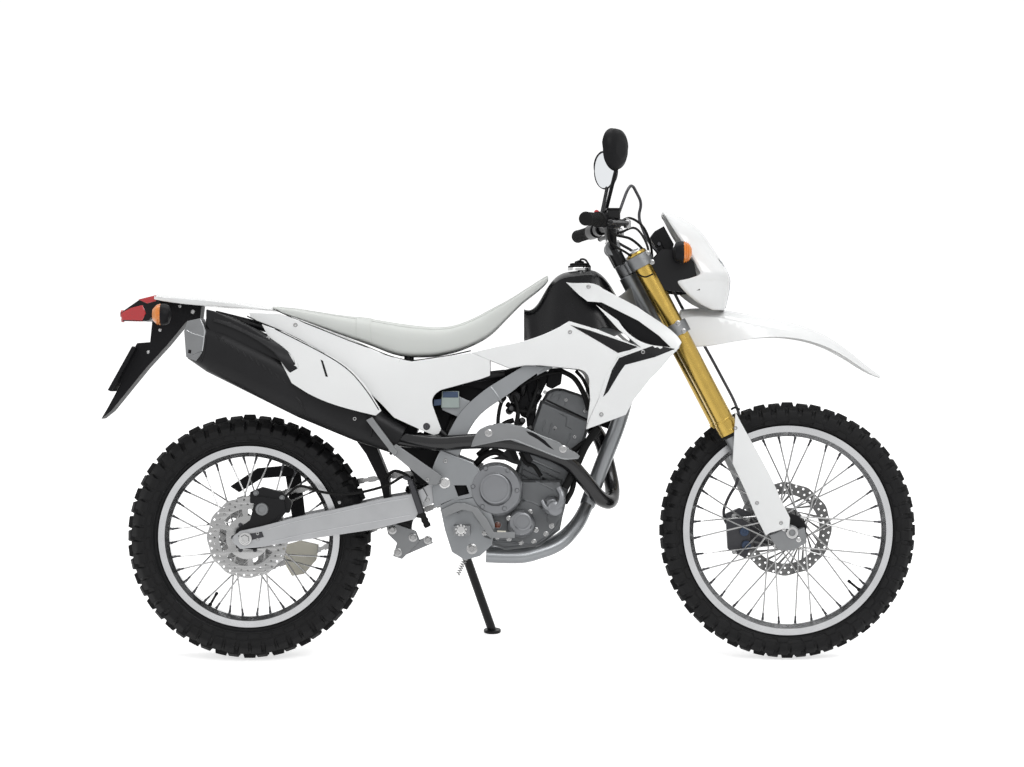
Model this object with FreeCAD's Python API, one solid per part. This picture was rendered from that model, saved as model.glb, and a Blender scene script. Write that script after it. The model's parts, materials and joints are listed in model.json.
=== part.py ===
import FreeCAD, Part
import math
import os

V = FreeCAD.Vector

# Driving sizes of the whole machine, in millimetres and degrees.
# X points forward, Y to the rider's left, Z up. The machine is modelled upright
# with the rear axle over X = 0, and is leaned onto its side stand at the end.
wheelbase = 1445.0
rake_deg = 27.58
trail = 113.0
seat_height = 890.0
head_height = 980.0
lean_deg = 10.5
running_gap = 6.0
seat_gap = 0.3
overrun = 40.0

# Tyres, rims and hubs
front_tyre_radius = 344.5
front_tyre_width = 84.0
front_rim_radius = 281.0
front_rim_width = 47.0
rear_tyre_radius = 328.0
rear_tyre_width = 122.0
rear_rim_radius = 243.0
rear_rim_width = 62.0
rim_flange = 12.0
rim_wall = 5.0
rim_drop = 26.0
lug_height = 11.0
front_lug_pitches = 28
rear_lug_pitches = 26
front_spoke_count = 36
rear_spoke_count = 36
spoke_diameter = 4.0
spoke_lace_deg = 52.0
front_hub_radius = 30.0
front_hub_width = 110.0
rear_hub_radius = 34.0
rear_hub_width = 112.0
hub_flange_radius = 46.0
hub_flange_wall = 9.0
front_axle_diameter = 20.0
rear_axle_diameter = 20.0

# Brakes
front_disc_radius = 128.0
rear_disc_radius = 110.0
disc_wall = 4.0
disc_band = 32.0
disc_carrier_radius = 62.0
disc_gap = 1.2

# Fork
fork_spacing = 200.0
clamp_offset = 38.4
fork_outer_diameter = 52.0
fork_inner_diameter = 43.0
fork_outer_top = 848.0
fork_outer_bottom = 307.0
upper_clamp_place = 822.0
lower_clamp_place = 617.0
clamp_height = 34.0
clamp_ring_share = 0.66
steering_lock_deg = 45.0
head_tube_diameter = 58.0
stem_diameter = 32.0
stem_boss_radius = 25.6
stem_above = 24.0
clamp_bridge_depth = 46.0
fork_collar_diameter = 58.0

# Handlebar
bar_half_width = 400.0
bar_height = 1157.0
bar_diameter = 22.2
grip_diameter = 33.0
grip_length = 125.0

# Frame
spar_width = 44.0
spar_wall = 26.0
spar_half_spacing = 118.0
plate_half_spacing = 126.0
plate_wall = 24.0
cradle_diameter = 34.0
cradle_half_spacing = 114.0
down_tube_diameter = 42.0
rail_diameter = 25.0
rail_bend_share = 0.12
rail_cross_diameter = 20.0
seat_block_radius = 10.0
seat_block_reach = 64.0
cover_block_radius = 7.5
cover_block_reach = 80.0

# Swingarm and chain
arm_half_spacing = 120.0
arm_wall = 24.0
pivot_boss_radius = 20.0
brace_length = 24.0
brace_height = 34.0
axle_end = 14.0
axle_nut_radius = 18.0
axle_nut_wall = 10.0
axle_spacer_radius = 16.0
pivot_diameter = 24.0
chain_y = 82.0
chain_pitch = 15.875
chain_roller_diameter = 10.2
chain_plate_height = 15.0
chain_width = 18.0
chain_core_share = 0.7
link_plate_share = 1.34
rear_sprocket_teeth = 40
tooth_shares = (0.0, 0.22, 0.5, 0.72)
front_sprocket_teeth = 14

# Exhaust
header_diameter = 40.0
muffler_width = 90.0
muffler_height = 130.0
muffler_y = -118.0

# Bodywork
panel_wall = 4.0
rear_panel_out = 21.0
tank_half_width = 128.0
seat_half_width = 118.0
shroud_half_width = 212.0
cover_half_width = 150.0
fender_half_width = 84.0
tail_half_width = 96.0
cowl_half_width = 122.0

# Side stand
stand_pivot_y = 150.0
stand_foot_ahead = 84.0
stand_foot_y = 252.0
stand_tube_diameter = 24.0
stand_axis_rise = 0.43
stand_eye_radius = 19.0
stand_eye_length = 28.0
stand_pin_radius = 6.0
stand_pin_gap = 0.08
stand_foot_wall = 8.0
stand_boss_radius = 16.0
stand_head_radius = 9.6
stand_head_wall = 6.4

# Places in a side view of the machine, in picture points from the upper left
rear_axle_px = (250.0, 536.0)
front_axle_px = (787.0, 530.0)
ground_py = 658.0
seat_top_py = 327.2
head_px = (638.8, 293.7)
steering_ground_px = 829.0
pivot_px = (444.5, 483.0)
front_sprocket_px = (474.9, 477.0)
stand_pivot_px = (461.5, 543.1)
picture_centre_px = (512.0, 383.5)
picture_distance = 7000.0

# Shares of the tyres and wheels
crown_share = 1.06
tread_edge_share = 0.86
carcass_edge_share = 0.94
lug_centre_share = 0.50
lug_edge_share = (0.52, 0.97)
lug_length_share = 0.60
lug_foot_share = 2.2
spoke_seat_share = 0.09
spoke_cross_share = 0.65
spoke_end_share = 0.15

# Outlines of the frame
spar_edge_px = ((525, 365), ((490, 386), (470, 402), (460, 413), (450, 430), (441, 450)),
                (458, 457), ((462, 447), (470, 428), (480, 415), (500, 400), (520, 385)), (546, 367))
spar_top_px = (537, 366)
shock_cross_px = ((441, 397), (452, 393), (472, 402), (460, 418), (442, 410))
plate_px = ((440, 450), (458, 457), (473, 463), (478, 468), (481, 475), (479, 482), (477, 490), (478, 496),
            (460, 500), (440, 506), (434, 507), (432, 490), (431, 475), (434, 463))
plate_window_px = ((454, 486), (466, 486), (469, 494), (458, 497))
casting_px = ((440, 506), (460, 500), (478, 497), (490, 508), (495, 525), (492, 545), (480, 556), (465, 560),
              (452, 552), (445, 530))
seat_rail_px = ((505, 374), (455, 380), (400, 372), (300, 336), (215, 315))
stay_px = ((456, 444), (330, 346))
seat_block_px = ((318, 342.5), (408, 373.5))
down_tube_above = 58.0
down_tube_back = 32.5
spar_end_share = 1.15
spar_head_share = 2.6
down_tube_px = ((622, 415), (600, 470), (588, 503))
cradle_side_px = ((579, 524), (560, 546), (525, 557), (505, 557), (486, 556))
cradle_spread_share = (0.42, 0.86, 1.0, 1.0, 1.0)

# Outlines of the swingarm, chain guard and shock
arm_px = ((262, 526), (300, 516), (340, 508), (380, 499), (410, 494), (423, 488), (427, 496), (415, 519),
          (370, 530), (330, 536), (290, 542), (262, 547), (240, 549), ((236, 545), (232, 540), (236, 534)),
          (240, 531))
knee_px = ((402, 496), (410, 494), (423, 488), (427, 496), (415, 512), (404, 510))
knee_boss_px = ((412, 493), (431, 483), (444, 475), (452, 490), (436, 502), (415, 511))
brace_px = (386, 510)
chain_cover_width = 25.0
guard_arm_px = ((284, 466), (300, 466), (306, 521), (293, 523))
chain_cover_px = ((231, 486), (258, 468), (300, 464), (312, 468), (312, 474), (262, 478), (240, 492))
shock_top_px = (446, 400)
shock_low_px = (404, 530)
shock_link_px = ((380, 504), (392, 503), (412, 524), (410, 540), (396, 538), (382, 518))
shock_diameter = 62.0
shock_body_diameter = 44.0
shock_rod_diameter = 32.0
shock_coil_inset = 0.6
shock_top_length = 58.0
shock_foot_length = 44.0
shock_seat_wall = 21.0
shock_eye_diameter = 43.0
shock_eye_length = 56.0
shock_link_width = 37.0
shock_coils = 7
coil_shares = (0.0, 0.3, 0.45, 0.85)

# Outlines and sizes of the engine
case_px = (((515, 480), (480, 470), (468, 478), (466, 500), (470, 520)), (480, 540), (505, 550), (540, 546),
           (560, 530), (566, 500), (562, 480))
cylinder_px = ((511, 484), (528, 437), (577, 456), (566, 500))
top_end_px = ((527, 441), (533, 424), (541, 400), (591, 421), (584, 444), (576, 462))
head_cover_px = ((541, 403), ((547, 392), (553, 389), (565, 389)), (580, 394), (592, 400), (590, 424))
case_half_width = 92.0
case_left_width = 62.0
cylinder_half_width = 50.0
head_half_width = 62.0
head_cover_half_width = 54.0
casting_chamfer = 7.0
clutch_px = (496, 489)
small_cover_px = (521, 523)
pump_px = (552, 505)
generator_px = (540, 505)
clutch_radius = 72.0
clutch_cap_radius = 43.0
small_cover_radius = 37.0
pump_radius = 26.0
generator_radius = 56.0
cover_depth = 36.0
clutch_cap_depth = 48.6
small_cover_depth = 32.4
pump_depth = 39.6
generator_depth = 50.4
airbox_px = ((452, 374), (345, 350), (345, 372), (392, 430), (414, 438), (432, 398), (440, 388), (466, 386),
             (500, 392), (505, 376))
airbox_half_width = 66.4
mud_guard_half_width = 48.8
mud_guard_px = ((345, 364), (352, 364), (354, 424), (376, 446), (389, 478), (390, 500), (384, 500),
                (380, 482), (366, 454), (347, 428))
radiator_px = ((612, 349), (624, 357), (612, 430), (595, 424))
radiator_near = 66.0
radiator_far = 146.0
radiator_arms_px = (((618, 372), (630, 372)), ((611, 400), (625, 400)))
radiator_arm_diameter = 12.0
radiator_tank_px = ((612, 344), (626, 352), (624, 362), (608, 355))
radiator_tank_step = 4.0

# Route and outlines of the exhaust
header_route_px = ((592, 426, 14), (602, 441, 38), (609, 470, 46), (613, 490, 26), (611, 503, -22),
                   (600, 499, -62), (585, 480, -92), (570, 463, -116), (552, 454, -136), (530, 446, -150),
                   (500, 441, -153), (470, 441, -152), (438, 444, -146), (396, 438, -120))
muffler_axis_px = ((197, 340), (400, 440))
muffler_stations_share = ((0.0, 0.84), (0.1, 0.98), (0.55, 1.0), (0.82, 0.84), (1.0, 0.62))
muffler_cover_px = (((207, 304), (245, 318), (262, 329), (285, 350)), (306, 384), (297, 384), ((272, 352),
                    (250, 337), (211, 321)))
cover_rise = 27.0
cover_swell = 5.0
cap_px_outline = ((184, 331), (187, 321), (201, 318), (206, 331), (203, 352), (196, 361), (186, 357))
cap_half_width = 41.0
outlet_diameter = 46.0
outlet_depth = 26.0
header_reach = -153.0
shield_px = ((471, 447), (473, 440), (480, 429), (500, 423), (520, 426), (540, 435), (560, 443), (580, 456),
             (578, 459), (565, 460), (555, 457), (540, 451), (525, 445), (510, 440), (500, 441), (485, 444))

# Outlines and sections of the bodywork
side_columns_px = (440, 480, 530, 580, 630, 690)
side_rows_py = (262, 320, 360, 400, 452)
side_share = ((0.30, 0.36, 0.44, 0.52, 0.56, 0.60),
              (0.42, 0.48, 0.60, 0.72, 0.80, 0.86),
              (0.50, 0.56, 0.70, 0.84, 0.94, 1.00),
              (0.52, 0.60, 0.72, 0.84, 0.94, 1.00),
              (0.52, 0.60, 0.70, 0.78, 0.86, 0.94))
shroud_strip_px = (((567, 280), (575, 281), (590, 281), (605, 287)), ((640, 306), (660, 320), (672, 329),
                   (680, 337), (683, 342)), (677, 352), (660, 335), (640, 320), (603, 301), (589, 300),
                   (580, 293))
shroud_front_px = ((597, 303), ((620, 320), (640, 340), (655, 345)), (680, 348), (672, 356), (660, 370),
                   ((650, 380), (640, 393), (635, 399)), (627, 415), (587, 430), (590, 420),
                   ((600, 398), (612, 367), (619, 357)), (642, 347), (620, 329))
side_panel_px = ((470, 352), ((500, 345), (540, 335), (560, 326)), (570, 320), (600, 329), (642, 347),
                 (619, 357), (612, 367), (600, 398), (590, 420), (587, 430), (591, 400),
                 ((590, 385), (587, 373), (580, 369)), (560, 367), (540, 365), (525, 365), (510, 368))
cover_columns_px = (235, 290, 350, 400, 450, 490)
cover_rows_py = (296, 340, 380, 445)
cover_share = ((0.56, 0.66, 0.72, 0.72, 0.70, 0.72),
               (0.66, 0.84, 0.90, 0.86, 0.78, 0.78),
               (0.80, 1.00, 1.04, 0.94, 0.82, 0.82),
               (0.86, 1.08, 1.08, 0.98, 0.84, 0.82))
side_cover_px = ((243, 311), ((275, 312), (300, 321), (350, 340), (390, 356), (410, 361)), ((430, 358),
                 (450, 355), (470, 352)), (510, 368), (480, 379), ((440, 390), (431, 400), (432, 408)),
                 (440, 430), (437, 435), (432, 436), (420, 431), (392, 418), ((380, 405), (360, 385),
                 (345, 368)), ((320, 352), (280, 331), (245, 317)))
rear_panel_px = ((257, 323), (289, 383), ((300, 390), (330, 404), (350, 410), (374, 416)), (380, 411),
                 ((370, 395), (350, 371), (330, 357)), (300, 341), (280, 331))
rear_pad_px = ((296, 368), (340, 390))
rear_pad_radius = 9.0
tool_box_px = ((296, 344), (330, 360), (350, 374), (368, 396), (376, 412), (350, 406), (330, 400), (300, 386))
tool_box_depth = 70.0
tank_columns_px = ((524, 309, 340), (546, 290, 336), (560, 274.5, 334), (576, 271, 336), (596, 271.5, 330),
                   (612, 288, 330), (630, 311, 330))
tank_low_share = (0.62, 0.70, 0.80, 0.86, 0.90, 0.84, 0.60)
tank_high_share = (0.40, 0.44, 0.50, 0.56, 0.58, 0.50, 0.36)
tank_crown = 16.0
clamp_turn_shares = (0.4, 0.7, 1.0)
cap_px = (579.5, 269.5)
cap_diameter = 62.0
cap_base_height = 10.0
cap_knob_diameter = 47.0
cap_height = 17.0
seat_stations_px = ((276, 307, 309.5), (300, 309, 319), (340, 315, 334), (372, 319, 345), (400, 323.5, 354),
                    (430, 327, 354), (460, 324, 350), (490, 310, 335), (520, 293, 306), (545, 277.5, 285))
seat_share_wide = (0.80, 0.92, 0.98, 1.0, 0.98, 0.90, 0.80, 0.68, 0.58, 0.50)
seat_top_share = 0.86
seat_crown = 9.0
tail_stations_px = ((157, 294, 300), (200, 297.5, 306), (250, 303, 309), (275.88, 307.5, 311))
tail_share = (0.62, 0.80, 0.94, 0.96)
tail_flare_share = 1.04
tail_crown = 8.0
lamp_body_px = ((120, 313), (123, 321), (148, 321), (160, 304), (160, 296.5), (140, 299))
lamp_half_width = 58.0
bracket_px = ((158, 297), (202, 302), (200, 318), (186, 322), (167, 345), (146, 368), (111, 411), (101, 419),
              (108, 407), (121, 383), (115, 383), (137, 343), (150, 342), (152, 322))
bracket_half_width = 42.0
bracket_room_px = ((160, 346), (141, 366), (107, 410), (95, 424), (90, 404), (112, 372), (130, 348))
signal_px = (161.5, 314.5)
signal_length = 46.0
signal_height = 56.0
signal_profile_shares = ((-1.0, 0.0), (-1.0, 0.55), (-0.55, 0.93), (0.1, 1.0), (0.7, 0.8), (1.0, 0.42),
                         (1.0, 0.0))
signal_half_spacing = 110.0
stalk_diameter = 14.0

# Pegs, levers and rear brake
peg_px = (462, 530)
peg_length = 96.0
peg_width = 44.0
peg_height = 26.0
peg_arm_wall = 13.0
passenger_width = 26.0
passenger_boss_px = (436, 480)
passenger_px = ((366, 420), (394, 456), (398, 452), (372, 417))
passenger_arm_px = ((388, 450), (396, 444), (442, 476), (438, 484), (430, 485))
pedal_px = ((440, 510), (455, 503), (465, 503), (478, 508), (488, 520), (494, 532), (515, 532), (515, 538),
            (490, 538), (480, 524), (472, 512), (462, 510), (445, 517))
pedal_boss_px = (458, 508.5)
pedal_boss_radius = 11.0
pedal_boss_length = 20.8
pedal_out = 13.0
pedal_wall = 13.0
caliper_inner_depth = 6.5
caliper_px = ((250, 492), (262, 487), (282, 492), (292, 502), (289, 513), (274, 512), (262, 505), (250, 503))
caliper_bracket_px = ((236, 530), (236, 548), (256, 550), (286, 512), (284, 500), (256, 496), (250, 520))

# Fork, handlebar, lamps and front fender
axle_eye_radius = 19.0
axle_stand_out = 4.3
foot_lug_px = ((765, 533), (778, 527), (785, 530), (800, 525), (802, 540), (788, 548), (775, 548), (768, 538))
guard_boss_px = (772, 520)
guard_boss_radius = 8.0
guard_out = 31.2
guard_behind = 44.0
guard_ahead = 66.0
guard_roll_behind = 8.7
guard_roll = 26.0
guard_px = (((730, 408), (728, 440), (727, 460)), (740, 488), (750, 512), (760, 533), (765, 530), (778, 526),
            (784, 526), (785, 515), ((775, 495), (760, 463), (745, 436), (735, 418)))
riser_height = 66.0
riser_back = 7.7
riser_half_spacing = 40.0
riser_diameter = 35.5
bar_bend_back = 6.5
bar_end_back = 81.5
bar_middle_share = 0.14
bar_bend_share = 0.36
bar_curve_share = 0.3
grip_beyond = 3.3
switch_radius = 21.0
switch_length = 49.0
perch_gap = 9.0
perch_radius = 17.8
perch_length = 29.0
perch_arm_diameter = 17.8
lever_ahead = 57.7
lever_drop = 8.9
lever_length = 181.0
lever_diameter = 12.2
lever_knob_diameter = 15.0
master_radius = 15.0
master_length = 62.0
master_ahead = 26.0
mirror_ahead = 0.5
mirror_y = 330.0
mirror_rise = 182.0
mirror_height = 110.0
mirror_width = 92.0
mirror_stem_diameter = 10.0
mirror_depth = 24.0
mirror_stations_share = ((-0.5, 1.0), (0.0, 0.94), (0.35, 0.74), (0.5, 0.42))
mirror_shoulder_share = 0.78
mirror_chin_share = 0.60
mirror_yaw_deg = 40.0
mirror_stem_share = 0.72
cowl_px = (((665, 217), (680, 218), (695, 227), (710, 245), (722, 264), (728, 280)), ((726, 298), (724, 310)),
           (714, 309), (689, 299), (673, 274), (690, 281), (698, 282), (700, 276), (693, 260), (681, 242))
cowl_rows_px = ((215, 664, 676), (228, 668, 697), (245, 668, 710.5), (262, 668, 721), (280, 668, 728.5),
                (298, 672, 726.5), (312, 690, 723))
cowl_share = (0.50, 0.66, 0.78, 0.88, 0.90, 0.80, 0.60)
cowl_square_share = 0.62
lens_top_py = 262
lens_low_py = 308
lens_top_half = 62.0
lens_low_half = 34.0
lens_wall = 14.0
meter_half_width = 55.0
meter_px = ((650, 238), (655, 231), (664, 226), (674, 244), (672, 252), (660, 253))
stay_plate_px = ((650, 262), (662, 249), (684, 250), (694, 262), (700, 290), (684, 292), (664, 290))
stay_tube_px = (668, 253.5)
stay_tube_diameter = 14.0
cowl_wall = 5.0
cowl_bow_share = 0.80
fender_top_px = ((680, 310), (715, 309), (760, 316), (800, 325), (830, 338), (855, 356), (880, 375))
fender_wall = 3.6
fender_top_share = 0.86
fender_crown_share = 0.35
fender_rise_share = 0.8
fender_share = (0.84, 0.84, 0.98, 0.92, 0.80, 0.62, 0.20)
fender_drop_px = (34, 36, 22, 15, 12, 9, 3)
front_signal_px = (683, 252)
front_stalk_px = (684, 258)
front_signal_y = 150.0
front_carrier_px = ((746, 514), (770, 526), (779, 531), (775, 545), (746, 554))
front_caliper_px = ((728, 515), (742, 509), (753, 514), (753, 548), (748, 560), (730, 550))
hose_diameter = 8.0
hose_route = ((1002, 89, -170), (1012, 110, -140), (957, 113, -100), (929, 88, -80), (863, 82, -68),
              (817, 94, -66), (737, 87, 0), (665, 91, 80), (533, 100, 100), (356, 102, 98), (280, 84, 84),
              (215, 40, 70), (166, 0, 70), (149, -32, 70), (120, -66, 69), (89, -76, 67), (50, -58, 66))

# Worked out from the driving sizes
arm_pivot_half_spacing = plate_half_spacing - plate_wall - seat_gap
rake = math.radians(rake_deg)
lean = math.radians(lean_deg)
steering_ground_x = wheelbase + trail
spoke_lace_angle = math.radians(spoke_lace_deg)
axle_rise = front_tyre_radius * math.cos(rake) + trail * math.sin(rake)
head_x = steering_ground_x - head_height * math.tan(rake)
x_per_px = head_x / (head_px[0] - rear_axle_px[0])
z_per_px = seat_height / (ground_py - seat_top_py)


def seen(place, y):
    """The picture point, as it would be for a thing in the middle plane."""
    grow = 1 + y / picture_distance
    return (picture_centre_px[0] + (place[0] - picture_centre_px[0]) * grow,
            picture_centre_px[1] + (place[1] - picture_centre_px[1]) * grow)


def frame_spot(place, y=0.0):
    """X and Z of a picture point on the frame, at a width y."""
    px, py = seen(place, y)
    return (px - rear_axle_px[0]) * x_per_px, (ground_py - py) * z_per_px


pivot_x, pivot_z = frame_spot(pivot_px, -plate_half_spacing)
front_sprocket_x, front_sprocket_z = frame_spot(front_sprocket_px, chain_y)
stand_pivot_x, stand_pivot_z = frame_spot(stand_pivot_px, stand_pivot_y)


def steering_axis_x(z):
    return steering_ground_x - z * math.tan(rake)


def fork_spot(place, y=0.0):
    """X and Z of a picture point on what turns with the fork, at a width y."""
    px, py = seen(place, y)
    z = (ground_py - py) * z_per_px
    fall = (py - head_px[1]) / (ground_py - head_px[1])
    axis_px = head_px[0] + (steering_ground_px - head_px[0]) * fall
    return steering_axis_x(z) + (px - axis_px) * x_per_px, z


def leg_spot(place, y=0.0):
    """X and Z of a picture point on the fork's foot, counted from the axle."""
    px, py = seen(place, y)
    axle = seen(front_axle_px, y)
    return wheelbase + (px - axle[0]) * x_per_px, front_tyre_radius + (axle[1] - py) * z_per_px


def fork_point(rise, ahead, y=0.0):
    """A point counted up the fork from the axle's foot, and ahead of the steering axis."""
    up = axle_rise + rise
    return V(steering_ground_x - up * math.sin(rake) + ahead * math.cos(rake), y,
             up * math.cos(rake) + ahead * math.sin(rake))


fork_up = V(-math.sin(rake), 0, math.cos(rake))
side_axis = V(0, 1, 0)

front_disc_y = front_hub_width / 2 + disc_wall / 2 + seat_gap
rear_disc_y = -(rear_hub_width / 2 + disc_wall / 2 + seat_gap)
front_axle = V(wheelbase, 0, front_tyre_radius)
rear_axle = V(0, 0, rear_tyre_radius)

# Shape helpers

def both_sides(shape):
    return Part.makeCompound([shape, mirrored(shape)])


def mirrored(shape):
    return shape.mirror(V(0, 0, 0), side_axis)


def joined(shapes):
    first = shapes[0]
    return first.fuse(shapes[1:]).removeSplitter() if len(shapes) > 1 else first


def rod(start, end, diameter):
    line = end - start
    return Part.makeCylinder(diameter / 2, line.Length, start, line)


def pipe(points, diameter, bend_share=0.45):
    """A round tube along straight runs joined by tangent arcs."""
    edges = []
    last = points[0]
    for before, corner, after in zip(points, points[1:], points[2:]):
        to_corner = (corner - before).normalize()
        from_corner = (after - corner).normalize()
        turn = to_corner.getAngle(from_corner)
        cut = bend_share * min((corner - before).Length, (after - corner).Length)
        radius = cut / math.tan(turn / 2)
        begin = corner - to_corner * cut
        finish = corner + from_corner * cut
        bisector = (from_corner - to_corner).normalize()
        middle = corner + bisector * (radius / math.cos(turn / 2) - radius)
        edges.append(Part.LineSegment(last, begin).toShape())
        edges.append(Part.Arc(begin, middle, finish).toShape())
        last = finish
    edges.append(Part.LineSegment(last, points[-1]).toShape())
    path = Part.Wire(edges)
    circle = Part.Wire(Part.makeCircle(diameter / 2, points[0], points[1] - points[0]))
    return path.makePipeShell([circle], True, False)


def outline(spots, y):
    """A closed wire at a width y. A spot list inside the list is a curved stretch."""
    edges = []
    start = None
    last = None
    for entry in spots:
        curve = [entry] if not isinstance(entry[0], (tuple, list)) else list(entry)
        points = [V(x, y, z) for x, z in curve]
        if last is None:
            start = points[0]
        else:
            edges.append(Part.LineSegment(last, points[0]).toShape())
        if len(points) > 1:
            spline = Part.BSplineCurve()
            spline.interpolate(points)
            edges.append(spline.toShape())
        last = points[-1]
    edges.append(Part.LineSegment(last, start).toShape())
    return Part.Wire(edges)


def spots(places, y, view=frame_spot):
    """Turns picture points, and curved stretches of them, into X and Z."""
    return [view(entry, y) if not isinstance(entry[0], (tuple, list))
            else [view(place, y) for place in entry] for entry in places]


def slab(places, y_inner, y_outer, view=frame_spot):
    """A plate with a side-view outline between two widths."""
    wire = outline(spots(places, y_outer, view), y_inner)
    return Part.Face(wire).extrude(V(0, y_outer - y_inner, 0))


def grown_slab(places, y_inner, y_outer, gap, view=frame_spot):
    """The same plate with its outline moved out by a gap."""
    wire = outline(spots(places, y_outer, view), y_inner).makeOffset2D(gap)
    return Part.Face(wire).extrude(V(0, y_outer - y_inner, 0))


def bulged_skin(columns_px, rows_py, shares, width, wall, layer=0.0, view=frame_spot):
    """A curved wall on the right side: its distance from the middle is a share of width."""
    grid = []
    for py, row in zip(rows_py, shares):
        line = []
        for px, share in zip(columns_px, row):
            x, z = view((px, py), -width)
            line.append(V(x, -width * share + layer, z))
        grid.append(line)
    surface = Part.BSplineSurface()
    surface.interpolate(grid)
    return surface.toShape().extrude(V(0, wall, 0))


def panel(places, skin, y_outer, view=frame_spot):
    """The part of a curved wall that lies inside a side-view outline."""
    cutter = slab(places, 0.0, y_outer, view)
    return joined(skin.common(cutter).Solids)


def ring(outer, inner, wall, centre, axis=side_axis):
    start = centre - axis * (wall / 2)
    tube = Part.makeCylinder(outer, wall, start, axis)
    return tube.cut(Part.makeCylinder(inner, wall, start, axis)) if inner else tube


def turned(profile, centre):
    """A solid of revolution about the axle. The profile is (width, radius) pairs."""
    points = [centre + V(0, y, radius) for y, radius in profile]
    face = Part.Face(Part.makePolygon(points + [points[0]]))
    return face.revolve(centre, side_axis, 360)


def section_ring(x, z_low, z_high, half_low, half_high, crown):
    """A closed cross-section with straight sides, a flat base and a crowned top."""
    base_left = V(x, half_low, z_low)
    base_right = V(x, -half_low, z_low)
    top_left = V(x, half_high, z_high - crown)
    top_right = V(x, -half_high, z_high - crown)
    peak = V(x, 0, z_high)
    return Part.Wire([Part.LineSegment(base_left, base_right).toShape(),
                      Part.LineSegment(base_right, top_right).toShape(),
                      Part.Arc(top_right, peak, top_left).toShape(),
                      Part.LineSegment(top_left, base_left).toShape()])


# Wheels

def tread_radius(radius, half, y):
    """Radius of the round tread at a width y."""
    crown = half * crown_share
    return radius - crown + math.sqrt(crown * crown - y * y)


def lug(centre, profile, length, angle):
    """A block across the tread, turned to its place round the tyre."""
    corners = [centre + V(-length / 2, y, z) for y, z in profile]
    block = Part.Face(Part.makePolygon(corners + [corners[0]])).extrude(V(length, 0, 0))
    block.rotate(centre, side_axis, angle)
    return block


def tyre(centre, radius, width, rim_radius, rim_width, pitches):
    """Round carcass with alternate rows of centre and shoulder lugs."""
    half = width / 2
    bead = rim_radius - rim_flange + seat_gap
    bead_half = rim_width / 2 - rim_wall - seat_gap

    def carcass_point(share):
        y = half * share
        return y, tread_radius(radius - lug_height, half, y)

    edge = carcass_point(tread_edge_share)
    middle = carcass_point(lug_centre_share)
    wall = (half * carcass_edge_share, (edge[1] + rim_radius) / 2)
    right = [(bead_half, bead), (bead_half, rim_radius), wall, edge, middle]
    carcass = turned([(-y, r) for y, r in right] + [(y, r) for y, r in reversed(right)], centre)
    length = 2 * math.pi * radius / pitches * lug_length_share
    foot = radius - lug_height * lug_foot_share
    y = half * lug_centre_share
    low = tread_radius(radius, half, y)
    centre_lug = [(-y, low), (0, radius), (y, low), (y, foot), (-y, foot)]
    near, far = [half * share for share in lug_edge_share]
    edge_lug = [(near, tread_radius(radius, half, near)), (far, tread_radius(radius, half, far)),
                (far, tread_radius(radius, half, far) - lug_height), (near, foot)]
    lugs = []
    for number in range(pitches):
        angle = 360.0 * number / pitches
        lugs.append(lug(centre, centre_lug, length, angle))
        for side in (-1, 1):
            lugs.append(lug(centre, [(side * w, z) for w, z in edge_lug], length, angle + 180.0 / pitches))
    return carcass.fuse(lugs)


def rim(centre, radius, width):
    """Drop-centre rim with two flanges."""
    half = width / 2
    seat = radius - rim_flange
    well = radius - rim_drop
    step = half - rim_drop / 2
    skin = rim_wall / 2
    edge = half - rim_wall
    return turned([(-half, radius), (-half, seat - rim_wall), (-step, well - skin), (step, well - skin),
                   (half, seat - rim_wall), (half, radius), (edge, radius), (edge, seat), (step, well + skin),
                   (-step, well + skin), (-edge, seat), (-edge, radius)], centre)


def rim_inner(radius):
    return radius - rim_drop - rim_wall / 2


def spokes(centre, rim_radius, hub_width, count, rim_width):
    """Crossed wire spokes from the hub's flanges to the rim."""
    shapes = []
    outer = rim_inner(rim_radius) - seat_gap - spoke_diameter * spoke_end_share
    inner = hub_flange_radius + seat_gap + spoke_diameter / 2
    for number in range(count):
        side = 1 if number % 2 else -1
        trailing = 1 if (number // 2) % 2 else -1
        sideways = trailing * spoke_diameter * spoke_cross_share
        hub_y = side * (hub_width / 2 - hub_flange_wall / 2) + sideways
        rim_angle = 2 * math.pi * (number + 0.5) / count
        hub_angle = rim_angle + trailing * spoke_lace_angle
        start = centre + V(inner * math.sin(hub_angle), hub_y, inner * math.cos(hub_angle))
        end = centre + V(outer * math.sin(rim_angle), side * rim_width * spoke_seat_share + sideways,
                         outer * math.cos(rim_angle))
        line = end - start
        across = line.cross(V(0, 1, 0)).normalize() * (spoke_diameter / 2)
        over = line.cross(across).normalize() * (spoke_diameter / 2)
        corners = [start + across, start + over, start - across, start - over]
        face = Part.Face(Part.makePolygon(corners + [corners[0]]))
        shapes.append(face.extrude(line))
    return shapes


def hub(centre, radius, width, axle_diameter, left_end):
    """Barrel with a spoke flange at each end, bored for the axle. Its left end may stand out."""
    half = width / 2
    bore = axle_diameter / 2 + seat_gap
    flange = hub_flange_radius
    wall = hub_flange_wall
    return turned([(-half, bore), (left_end, bore), (left_end, flange), (half - wall, flange),
                   (half - wall * 2, radius), (-half + wall * 2, radius),
                   (-half + wall, flange), (-half, flange)], centre)


def disc(centre, radius, y, inner):
    """Brake disc band carried by arms on a centre ring."""
    middle = centre + V(0, y, 0)
    band = ring(radius, radius - disc_band, disc_wall, middle)
    carrier = ring(disc_carrier_radius, inner, disc_wall, middle)
    arms = []
    arm_count = 6
    arm_width = disc_band / 2
    reach = radius - disc_band / 2
    for number in range(arm_count):
        arm = Part.makeBox(arm_width, disc_wall, reach - disc_carrier_radius + disc_band / 4,
                           middle + V(-arm_width / 2, -disc_wall / 2, disc_carrier_radius - disc_band / 4))
        arm.rotate(middle, side_axis, 360.0 * number / arm_count)
        arms.append(arm)
    return joined([band, carrier] + arms)


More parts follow.
